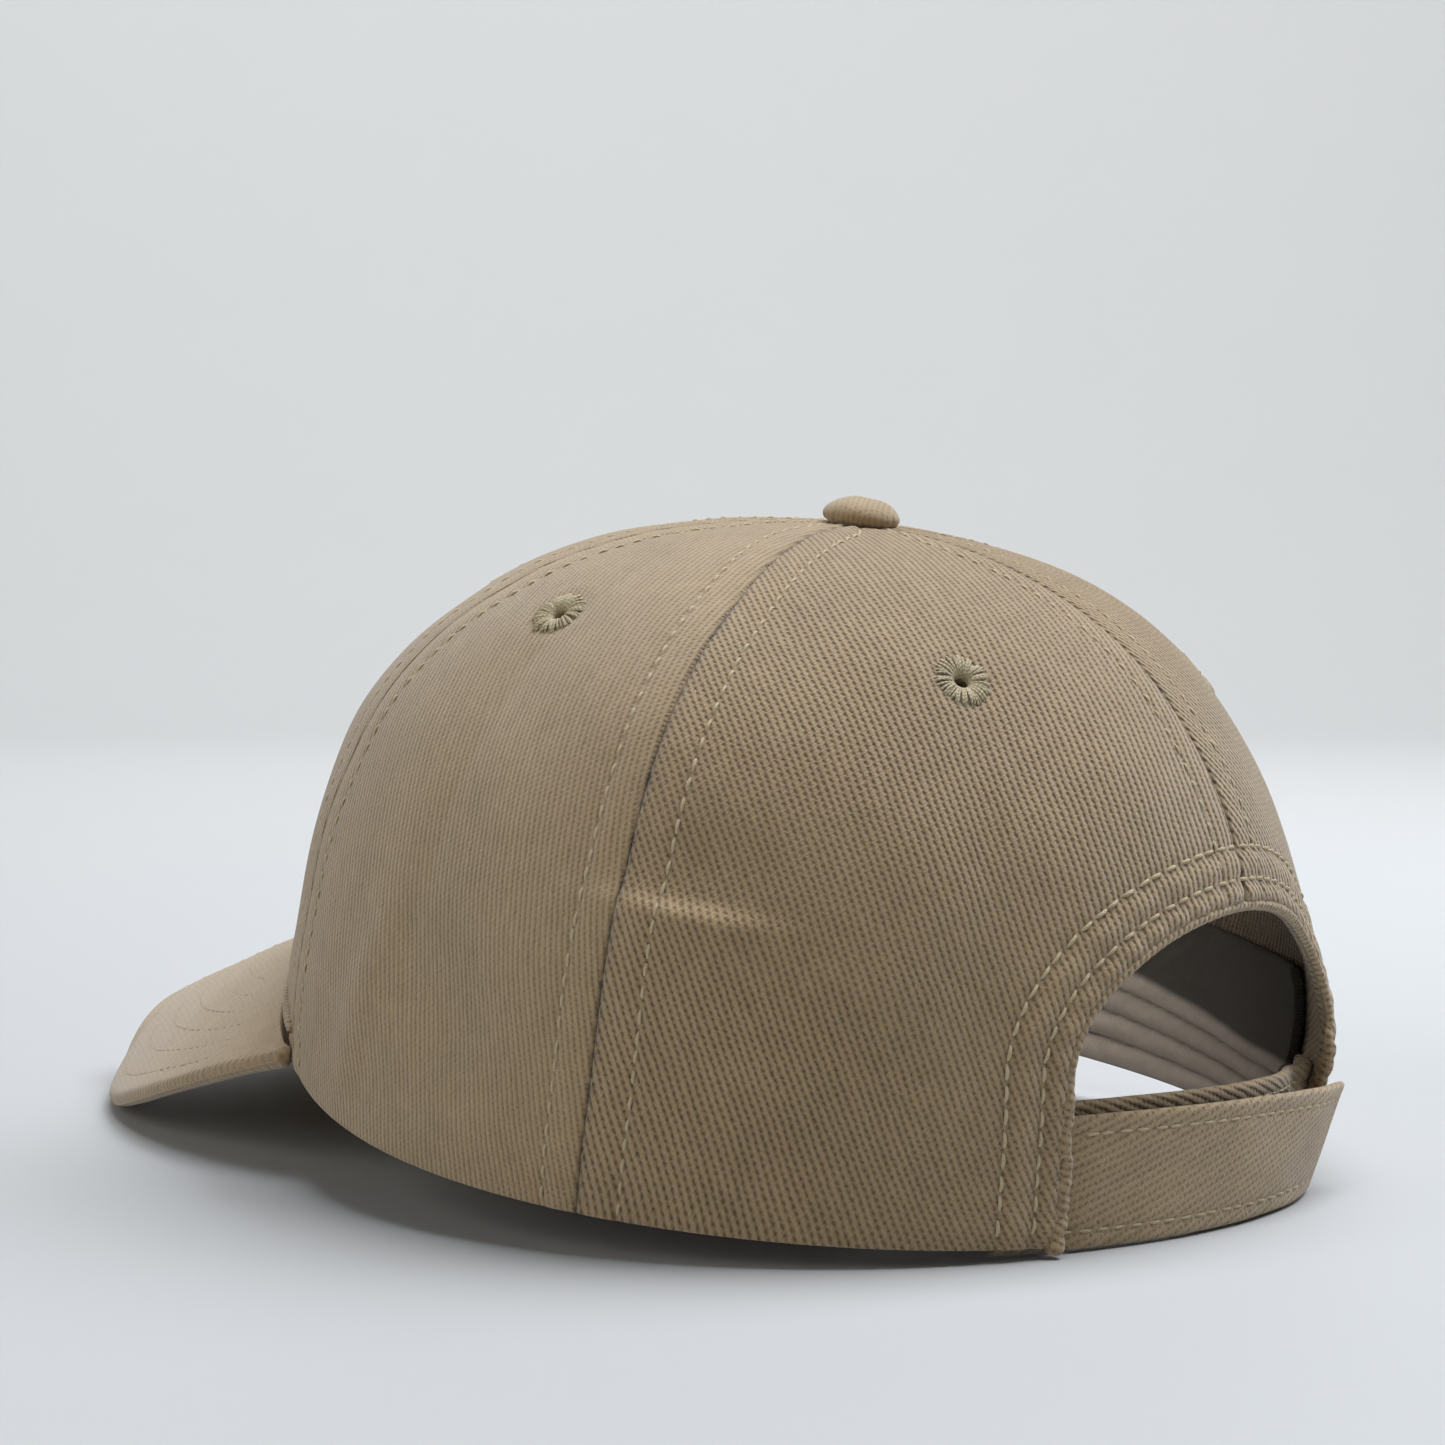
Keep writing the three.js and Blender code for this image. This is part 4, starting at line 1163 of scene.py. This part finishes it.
def make_button():
    """The cloth-covered button: a flattened dome whose gathered edge tucks under in small waves."""
    sides, rings = 144, 40
    turn = np.linspace(0, 2 * np.pi, sides, endpoint=False)
    s = np.linspace(0.0, 1.0, rings)[:, None]
    bend = s * np.radians(126)
    radius = 7.0 * np.sin(np.minimum(bend, np.pi / 2)) ** 0.86 - 1.5 * np.clip(bend - np.pi / 2, 0, None) ** 1.3
    height = 4.4 * (0.5 + 0.5 * np.cos(bend * 1.43)) ** 0.8
    gather = np.clip((s - 0.5) / 0.5, 0, 1) ** 1.6
    folds = 0.18 * np.sin(11 * turn + 0.7 * np.sin(3 * turn)) + 0.10 * np.sin(19 * turn + 1.1)
    swell = 0.14 * soft_noise(np.stack(np.broadcast_arrays(9 * radius / 7 * np.cos(turn),
                                                           9 * radius / 7 * np.sin(turn), s), -1), 9, 5)
    radius = radius + gather * folds
    height = height + 0.55 * gather * folds + swell
    outer = np.stack([radius * np.cos(turn), radius * np.sin(turn), height * 1.06 + 0.28], -1)
    uv = np.stack([outer[..., 1] * 1.15, -outer[..., 0] * 1.15], -1)
    inner = outer * [0.86, 0.86, 1.0] - [0, 0, 0.7]
    inner[..., 2] = np.maximum(inner[..., 2], np.minimum(outer[..., 2] - 0.5, 0.1))
    axes, origin = button_place()
    builder = Builder()
    top = builder.grid(outer @ axes.T + origin, uv, wrap=True)
    under = builder.grid(inner @ axes.T + origin, uv, wrap=True, flip=True)
    closed = np.append(np.arange(sides), 0)
    builder.bridge(top[-1][closed], under[-1][closed])
    builder.make("button_cloth", VISOR_TWILL, CROWN, ["button_cover"])


def button_place():
    """Turn and origin of the button, on the tilted crown's apex."""
    cosine, sine = math.cos(TILT), math.sin(TILT)
    turn = np.array([[1, 0, 0], [0, cosine, sine], [0, -sine, cosine]])
    origin = turn @ np.array([0, APEX_OFFSET, HEIGHT]) + np.array([0, FRAME_SHIFT, LIFT])
    return turn, origin


# ---- visor -----------------------------------------------------------------------------------------


def visor_height(x, y):
    forward = y - VISOR["y"]
    bend = np.clip((VISOR["bend_from"] - y) / VISOR["bend_length"], 0, 1)
    radius = VISOR["bend_rear"] + (VISOR["bend_front"] - VISOR["bend_rear"]) * bend
    return VISOR["z"] + VISOR["slope"] * forward + VISOR["droop"] * forward ** 2 - x * x / (2 * radius)


def visor_edges(u):
    """The visor's inner and outer edge points across it, in the crown's own frame of y."""
    phi = u * VISOR["corner"] * FRONT_SEAM
    rim = crown(phi, 0.0) - [0, FRAME_SHIFT, 0]
    normal = crown_normal(phi, np.full(np.shape(phi), 0.004)) * [1, 1, 0]
    inner = rim + unit(normal) * VISOR["gap"]
    inner[..., 2] = rim[..., 2] + VISOR["rise"]
    turn = u * VISOR["corner"] * np.pi / 2
    power = 2 / VISOR["square"]
    x = VISOR["half_width"] * np.sign(turn) * np.abs(np.sin(turn)) ** power
    y = VISOR["origin"] - VISOR["reach"] * np.cos(turn) ** power
    return inner, np.stack([x, y, np.zeros_like(x)], -1)


def visor_middle(u, v):
    inner, outer = visor_edges(u)
    v = np.asarray(v)[..., None]
    place = inner * (1 - v) + outer * v
    fade = (1 - v[..., 0]) ** 3
    place[..., 2] = (visor_height(place[..., 0], place[..., 1])
                     + (inner[..., 2] - visor_height(inner[..., 0], inner[..., 1])) * fade)
    return place + [0, FRAME_SHIFT, 0]


def visor_frame(u, v):
    """Middle points and upward normals of the visor."""
    step = 1e-3
    across = visor_middle(u + step, v) - visor_middle(u - step, v)
    forward = visor_middle(u, v + step) - visor_middle(u, v - step)
    normal = unit(np.cross(forward, across))
    return visor_middle(u, v), normal * np.sign(normal[..., 2:])


VISOR_ROWS = 5.5 + 6.5 * np.arange(8)
VISOR_WAVE, VISOR_WAVE_LENGTH = 0.22, 34


def visor_grid():
    """Parameters of the visor's vertices, close together at its edge, and their distance from that edge."""
    u = np.sin(np.linspace(-1, 1, 300) * np.pi / 2)
    inner, outer = visor_edges(u)
    length = np.linalg.norm((outer - inner)[:, :2], axis=1)
    near = np.array([0, 0.08, 0.22, 0.45, 0.8, 1.2, 1.7, 2.3, 3.0, 3.8])
    squeeze = np.minimum(1, length / (2.2 * near[-1]))
    lips = near[:, None] * squeeze[None, :]
    rest = lips[-1] + (length - lips[-1]) * np.linspace(0, 1, 96)[1:, None]
    distance = np.concatenate([lips, rest])
    v = 1 - distance / length
    return np.broadcast_to(u, v.shape), v, distance, length, squeeze


def visor_uv(points):
    """Flat cloth coordinates of the visor: arc length across its bend, and depth."""
    x, y = points[..., 0], points[..., 1] - FRAME_SHIFT
    bend = np.clip((VISOR["bend_from"] - y) / VISOR["bend_length"], 0, 1)
    radius = VISOR["bend_rear"] + (VISOR["bend_front"] - VISOR["bend_rear"]) * bend
    share = x / radius
    arc = x / 2 * np.sqrt(1 + share ** 2) + radius / 2 * np.arcsinh(share)
    return np.stack([arc, y * 1.03], -1)


def make_visor():
    """The two covers with their rows of stitches, the seam round the edge and the piping at the crown."""
    u, v, distance, length, squeeze = visor_grid()
    middle, normal = visor_frame(u, v)
    run = run_length(middle[0])[None, :]
    uv = visor_uv(middle)
    stitches = Builder()
    for name, sign, seed in (("top", 1, 500), ("bottom", -1, 600)):
        rows = sum(bell(distance - row, 0.7) for row in VISOR_ROWS)
        pucker = 0.75 + 0.25 * np.cos(2 * np.pi * run / STITCH_PITCH)
        fade = np.clip(distance / 4, 0, 1)
        wave = VISOR_WAVE * soft_noise(middle, VISOR_WAVE_LENGTH, 21 + sign) * fade
        half = VISOR["half"]
        edge = edge_round(distance / np.maximum(squeeze, 0.3), half - 0.12)
        height = half - edge - 0.04 * rows * pucker * fade + wave
        outer = middle + normal * (sign * height)[..., None]
        inner_height = np.minimum(1.0, height - 0.1)
        inner = middle + normal * (sign * np.maximum(inner_height, 0.06))[..., None]
        builder = Builder()
        # Painted shade along the stitch grooves; the cloth is also darker towards the visor's edge and a little
        # lighter elsewhere.
        slab(builder, outer, inner, uv, relief=0.1 - 0.12 * rows - 0.5 * bell(distance, 2))
        builder.make(f"visor_{name}_cloth", VISOR_TWILL, CROWN, [f"visor_{name}_cover"])
        for number, row in enumerate(VISOR_ROWS):
            fits = np.where((length > row + 8.0) & (np.abs(u[0]) < 0.84))[0]
            if len(fits) < 8:
                continue
            line_u = u[0, fits]
            line_v = 1 - row / length[fits]
            base, up = visor_frame(line_u, line_v)
            level = half + VISOR_WAVE * soft_noise(base, VISOR_WAVE_LENGTH, 21 + sign) - 0.07
            sew(stitches, base + up * (sign * level)[:, None], up * sign, seed + number, radius=0.15,
                lift=0.05)
    stitches.make("visor_stitching", VISOR_THREAD, CROWN)
    lip, up = visor_frame(u[0], np.ones(u.shape[1]))
    outward = unit(lip - visor_middle(u[0], np.full(u.shape[1], 0.98)))
    builder = Builder()
    tube(builder, lip - outward * 0.12, (0.30, 0.22), 8, normals=up, twist=rope(1.7, 0.05))
    for end in (-1.0, 1.0):
        corner, up = visor_frame(np.full(12, end), np.linspace(0.02, 0.98, 12))
        swell = np.sin(np.linspace(0.25, 0.75, 12) * np.pi) ** 0.5
        tube(builder, corner, np.stack([0.9 * swell, 1.78 * swell], -1), 14, normals=up)
    builder.make("visor_edge_seam", VISOR_TWILL, CROWN)
    inner, _ = visor_frame(u[0], np.zeros(u.shape[1]))
    phi = u[0] * VISOR["corner"] * FRONT_SEAM
    face = crown(phi, np.full(phi.shape, 0.012))
    builder = Builder()
    ends = np.clip((1 - np.abs(u[0])) / 0.02, 0, 1) ** 0.5
    middle = inner * 0.5 + face * 0.5 + [0, 0, 0.9] + ends[:, None] * [0, 0, 0.6]
    tube(builder, middle, np.stack([0.9 + 0.3 * ends, 0.9 + 0.2 * ends], -1), 14, twist=rope(2.4, 0.04))
    builder.make("visor_piping", EDGE_TWILL, CROWN)


# ---- closure straps --------------------------------------------------------------------------------


def bezier(points, share):
    a, m, b = (np.array(p, float) for p in points)
    control = 2 * m - a / 2 - b / 2
    share = np.asarray(share)[:, None]
    return a * (1 - share) ** 2 + 2 * control * share * (1 - share) + b * share ** 2


def catmull(points, count):
    """Evenly spaced points of the smooth curve through a list of points."""
    points = np.asarray(points, float)
    padded = np.concatenate([[2 * points[0] - points[1]], points, [2 * points[-1] - points[-2]]])
    share = np.linspace(0, 1, 12, endpoint=False)[:, None]
    parts = []
    for k in range(len(points) - 1):
        a, b, c, d = padded[k:k + 4]
        parts.append(0.5 * (2 * b + (c - a) * share + (2 * a - 5 * b + 4 * c - d) * share ** 2
                            + (3 * b - a - 3 * c + d) * share ** 3))
    curve = np.concatenate(parts + [points[-1:]])
    run = run_length(curve)
    return sample(curve, run, np.linspace(0, run[-1], count))


STRAP_HALF = 0.8
ROOT_X = (49.0, 45.0, 41.0)


def strap_edges(strap, side):
    """The strap's lower and upper edge from its sewn root under the crown to its free end."""
    curves = []
    for key in ("low", "high"):
        z = strap[key][0][2]
        phi, t = back_parameters(np.array(ROOT_X) * side, np.full(3, max(z, 4.0)))
        root = cloth_point(phi, t, np.full(3, 3.8))
        root[:, 2] = z
        free = bezier(strap[key], np.linspace(0, 1, 13)) + [0, FRAME_SHIFT, 0]
        curves.append(catmull(np.concatenate([root, free]), 190))
    return curves


STITCH_EDGE = 3.0


def facing_out(middle, low, high):
    """Normals of a strap's face, pointing away from the cap's middle."""
    tangent = unit(np.gradient(middle, axis=1))
    normal = unit(np.cross(tangent, np.broadcast_to(unit(high - low)[None], tangent.shape)))
    return normal * np.sign((normal * (middle - [0, FRAME_SHIFT, 0])).sum(-1, keepdims=True))


def make_strap(name, strap, side, nodes, seed):
    """A strap from its sewn root to its free end, with its row of stitches."""
    low, high = strap_edges(strap, side)
    width = np.linalg.norm(high - low, axis=1)
    near = np.array([0, 0.06, 0.2, 0.42, 0.75, 1.15, 1.6, 2.0, 2.4, 2.7, STITCH_EDGE, 3.3, 3.7, 4.2])
    offsets = np.concatenate([np.broadcast_to(near[:, None], (len(near), len(low))),
                              4.2 + (width - 8.4) * np.linspace(0, 1, 20)[1:-1, None],
                              width - near[::-1, None]])
    share = offsets / width
    run = run_length((low + high) / 2)
    left = run[-1] - run
    middle = low * (1 - share[..., None]) + high * share[..., None]
    normal = facing_out(middle, low, high)
    from_edge = np.minimum(np.minimum(offsets, width - offsets), np.broadcast_to(left, offsets.shape))
    pucker = 0.65 + 0.35 * np.cos(2 * np.pi * run / STITCH_PITCH)
    dip = bell(from_edge - STITCH_EDGE, 0.55) * pucker
    wave = 0.22 * soft_noise(middle, 17, seed) + 0.5 * bell(left - 16, 9) * np.sin(offsets / 3.1 + left / 6)
    body_wave = wave * np.clip(run / 25, 0, 1)
    half = STRAP_HALF - edge_round(from_edge, STRAP_HALF - 0.02)
    middle = middle + normal * (0.4 * body_wave)[..., None]
    outer = middle + normal * (half - 0.24 * dip)[..., None]
    inner = middle - normal * (half - 0.24 * dip)[..., None]
    uv = np.stack(np.broadcast_arrays(run[None, :], offsets), -1)
    builder = Builder()
    # Painted shade in the stitch dips, and painted light and shade that follow the strap's waves.
    slab(builder, outer, inner, uv, relief=np.clip(0.2 - 0.5 * dip + 0.4 * body_wave, -0.4, 0.4))
    start, end = (0.0385 * side, 0, 0.011), (0.031 * side, 0, 0.011)
    cloth = builder.make(f"{name}_cloth", STRAP_TWILL, None, nodes)
    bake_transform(cloth)
    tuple(start)
    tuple(end)
    stitches = Builder()
    first = int(np.argmin(np.abs(near - STITCH_EDGE)))
    last = len(offsets) - 1 - first
    stop = int(np.argmin(np.abs(left - STITCH_EDGE)))
    begin = int(np.argmin(np.abs(run - 11.0)))
    face = middle + normal * (half - 0.2)[..., None]
    line, lean = (np.concatenate([grid[first, begin:stop], grid[first:last + 1, stop],
                                  grid[last, begin:stop][::-1]]) for grid in (face, normal))
    sew(stitches, line, lean, seed + 1, radius=0.22, lift=0.1)
    thread = stitches.make(f"{name}_stitching", THREAD, None)
    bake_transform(thread)
    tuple(start)
    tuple(end)


def make_closure_tape(name, strap, span_share, facing, material, body, node, seed):
    """A closure tape sewn on a strap's face: a woven edge and a dense, uneven pile."""
    low, high = (bezier(strap[key], np.linspace(*span_share, 110)) + [0, FRAME_SHIFT, 0]
                 for key in ("low", "high"))
    margin = 0.16
    share = np.linspace(margin, 1 - margin, 34)[:, None]
    middle = low[None] * (1 - share[..., None]) + high[None] * share[..., None]
    normal = facing_out(middle, low, high) * facing
    run = run_length(middle[17])
    width = np.linalg.norm(high - low, axis=1).mean()
    rise = share * width
    from_edge = np.minimum(np.minimum(rise - margin * width, (1 - margin) * width - rise),
                           np.minimum(run, run[-1] - run)[None, :])
    rng = np.random.default_rng(seed)
    pile = np.clip(from_edge / 1.6, 0, 1) * (0.28 + 0.3 * rng.random(from_edge.shape))
    outer = middle + normal * (STRAP_HALF + 0.52 + pile - edge_round(from_edge, 0.3))[..., None]
    inner = middle + normal * (STRAP_HALF + 0.12)
    builder = Builder()
    slab(builder, outer, inner, np.stack(np.broadcast_arrays(run[None, :], rise), -1))
    builder.make(name, material, body, [node])


# ---- build -----------------------------------------------------------------------------------------


def make_cap():
    """Every visible piece; the order sets nothing but the order of the meshes."""
    for side, sign in SIDES:
        for kind in PANEL_SPANS:
            make_panel(kind, side, sign)
    make_linings()
    make_seam_tapes()
    make_sweatband()
    make_facing()
    make_opening_edge()
    make_crown_stitching()
    for number, kind in enumerate(EYELETS):
        for side, sign in SIDES:
            make_eyelet(kind, side, sign, 40 + 2 * number + (sign > 0))
    make_button()
    make_visor()
    make_strap("outer_strap", OUTER_STRAP, 1, ["outer_strap", "outer_strap_root"], 61)
    make_strap("inner_strap", INNER_STRAP, -1, ["inner_strap", "inner_strap_root"], 71)
    make_closure_tape("hook_tape_pile", OUTER_STRAP, (0.36, 0.92), -1, HOOKS, OUTER_FLAP,
                      "hook_tape", 81)
    make_closure_tape("loop_tape_pile", INNER_STRAP, (0.12, 0.68), 1, LOOPS, INNER_FLAP,
                      "loop_tape", 82)
    for node, material in (("visor_board", BOARD), ("button_shell", METAL), ("button_backing", METAL)):
        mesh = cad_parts[node].data
        mesh.materials.clear()
        mesh.materials.append(material)


# ---- stage, light and camera -----------------------------------------------------------------------


def flat_material(name, color, roughness):
    n = Nodes(name)
    mottle = n.noise(n.object_space(), 0.01, 2.0)
    n.color(n.ramp(mottle, (0.0, tuple(c * 0.985 for c in color)), (1.0, color)))
    n.surface(roughness, specular=0.2)
    return n.material


def make_stage():
    """A seamless round sweep: level under the cap, curved up into a wall that stands far behind it on all sides."""
    bend = np.linspace(0, np.pi / 2, 20)
    radius = np.concatenate([[0.02, 0.6, 1.2], 1.7 + 1.1 * np.sin(bend), [2.8]])
    height = np.concatenate([[0.0, 0.0, 0.0], 1.1 - 1.1 * np.cos(bend), [3.2]])
    turn = np.linspace(0, 2 * np.pi, 72, endpoint=False)
    points = np.stack([radius[:, None] * np.cos(turn), radius[:, None] * np.sin(turn),
                       np.broadcast_to(height[:, None], (len(height), len(turn)))], -1).reshape(-1, 3)
    ring = np.arange(len(turn))
    after = (ring + 1) % len(turn)
    faces = [ring[::-1].tolist()]
    for k in range(len(radius) - 1):
        low, high = k * len(turn), (k + 1) * len(turn)
        faces += np.stack([low + ring, high + ring, high + after, low + after], -1).tolist()
    mesh = bpy.data.meshes.new("backdrop")
    mesh.from_pydata(points.tolist(), [], faces)
    mesh.polygons.foreach_set("use_smooth", np.ones(len(faces), bool))
    backdrop = bpy.data.objects.new("backdrop", mesh)
    bpy.context.scene.collection.objects.link(backdrop)
    mesh.materials.append(flat_material("pale_sweep", (0.52, 0.530, 0.533), 0.6))


def area_light(name, place, target, size, power, color=(1, 1, 1), spread=180):
    """A soft box at a place, turned to a target; sizes are in metres, power in watts, spread in degrees."""
    light = bpy.data.lights.new(name, "AREA")
    light.spread = math.radians(spread)
    light.shape = "RECTANGLE"
    light.size, light.size_y = size
    light.energy = power
    light.color = color
    lamp = bpy.data.objects.new(name, light)
    bpy.context.scene.collection.objects.link(lamp)
    lamp.location = place
    lamp.rotation_euler = (Vector(target) - Vector(place)).to_track_quat("-Z", "Y").to_euler()


SOFTBOX_COLOR = (0.955, 0.987, 1.045)


def make_light():
    """A faint sky, two soft boxes, low fills, one light for the far wall and one inside the crown."""
    world = bpy.data.worlds.new("soft_studio")
    bpy.context.scene.world = world
    world.use_nodes = True
    background = world.node_tree.nodes["Background"]
    background.inputs["Color"].default_value = (0.92, 0.96, 1.0, 1)
    background.inputs["Strength"].default_value = 0.03
    area_light("overhead_softbox", (-0.05, 0.05, 1.4), (0, 0.02, 0.05), (0.8, 0.8), 11.4, SOFTBOX_COLOR)
    area_light("right_softbox", (-0.55, 0.45, 1.2), (0, 0.03, 0.05), (0.9, 0.9), 17.3, SOFTBOX_COLOR)
    area_light("left_fill", (1.1, -0.5, 0.55), (0, 0.03, 0.05), (0.9, 0.9), 4.2, (1.0, 0.95, 0.87))
    area_light("low_fill", (1.05, 0.95, 0.17), (0, 0.10, 0.05), (0.5, 0.22), 0.12, (1.0, 0.93, 0.83))
    area_light("wall_light", (-0.7, -0.56, 1.8), (-2.2, -1.75, 0.9), (2.4, 1.0), 54.5)
    area_light("crown_fill", (-0.030, 0.0, 0.075), (-0.085, 0.055, 0.004), (0.03, 0.03), 0.016,
               (1.0, 0.96, 0.92), 100)


# The photo's viewing angle, in metres, and its focal length for a 36 mm sensor.
CAMERA_PLACE = (0.4100, 0.3482, 0.1016)
CAMERA_TARGET = (0.0058, 0.0233, 0.0803)
CAMERA_LENS = 69.65


def make_camera():
    camera = bpy.data.cameras.new("photo_camera")
    camera.sensor_width = 36
    camera.lens = CAMERA_LENS
    camera.clip_start, camera.clip_end = 0.02, 30
    eye = bpy.data.objects.new("photo_camera", camera)
    bpy.context.scene.collection.objects.link(eye)
    place, target = Vector(CAMERA_PLACE), Vector(CAMERA_TARGET)
    eye.location = place
    eye.rotation_euler = (target - place).to_track_quat("-Z", "Y").to_euler()
    bpy.context.scene.camera = eye
    bpy.context.scene.view_settings.view_transform = "Standard"
    bpy.context.scene.view_settings.look = "None"


make_cap()
make_stage()
make_light()
make_camera()
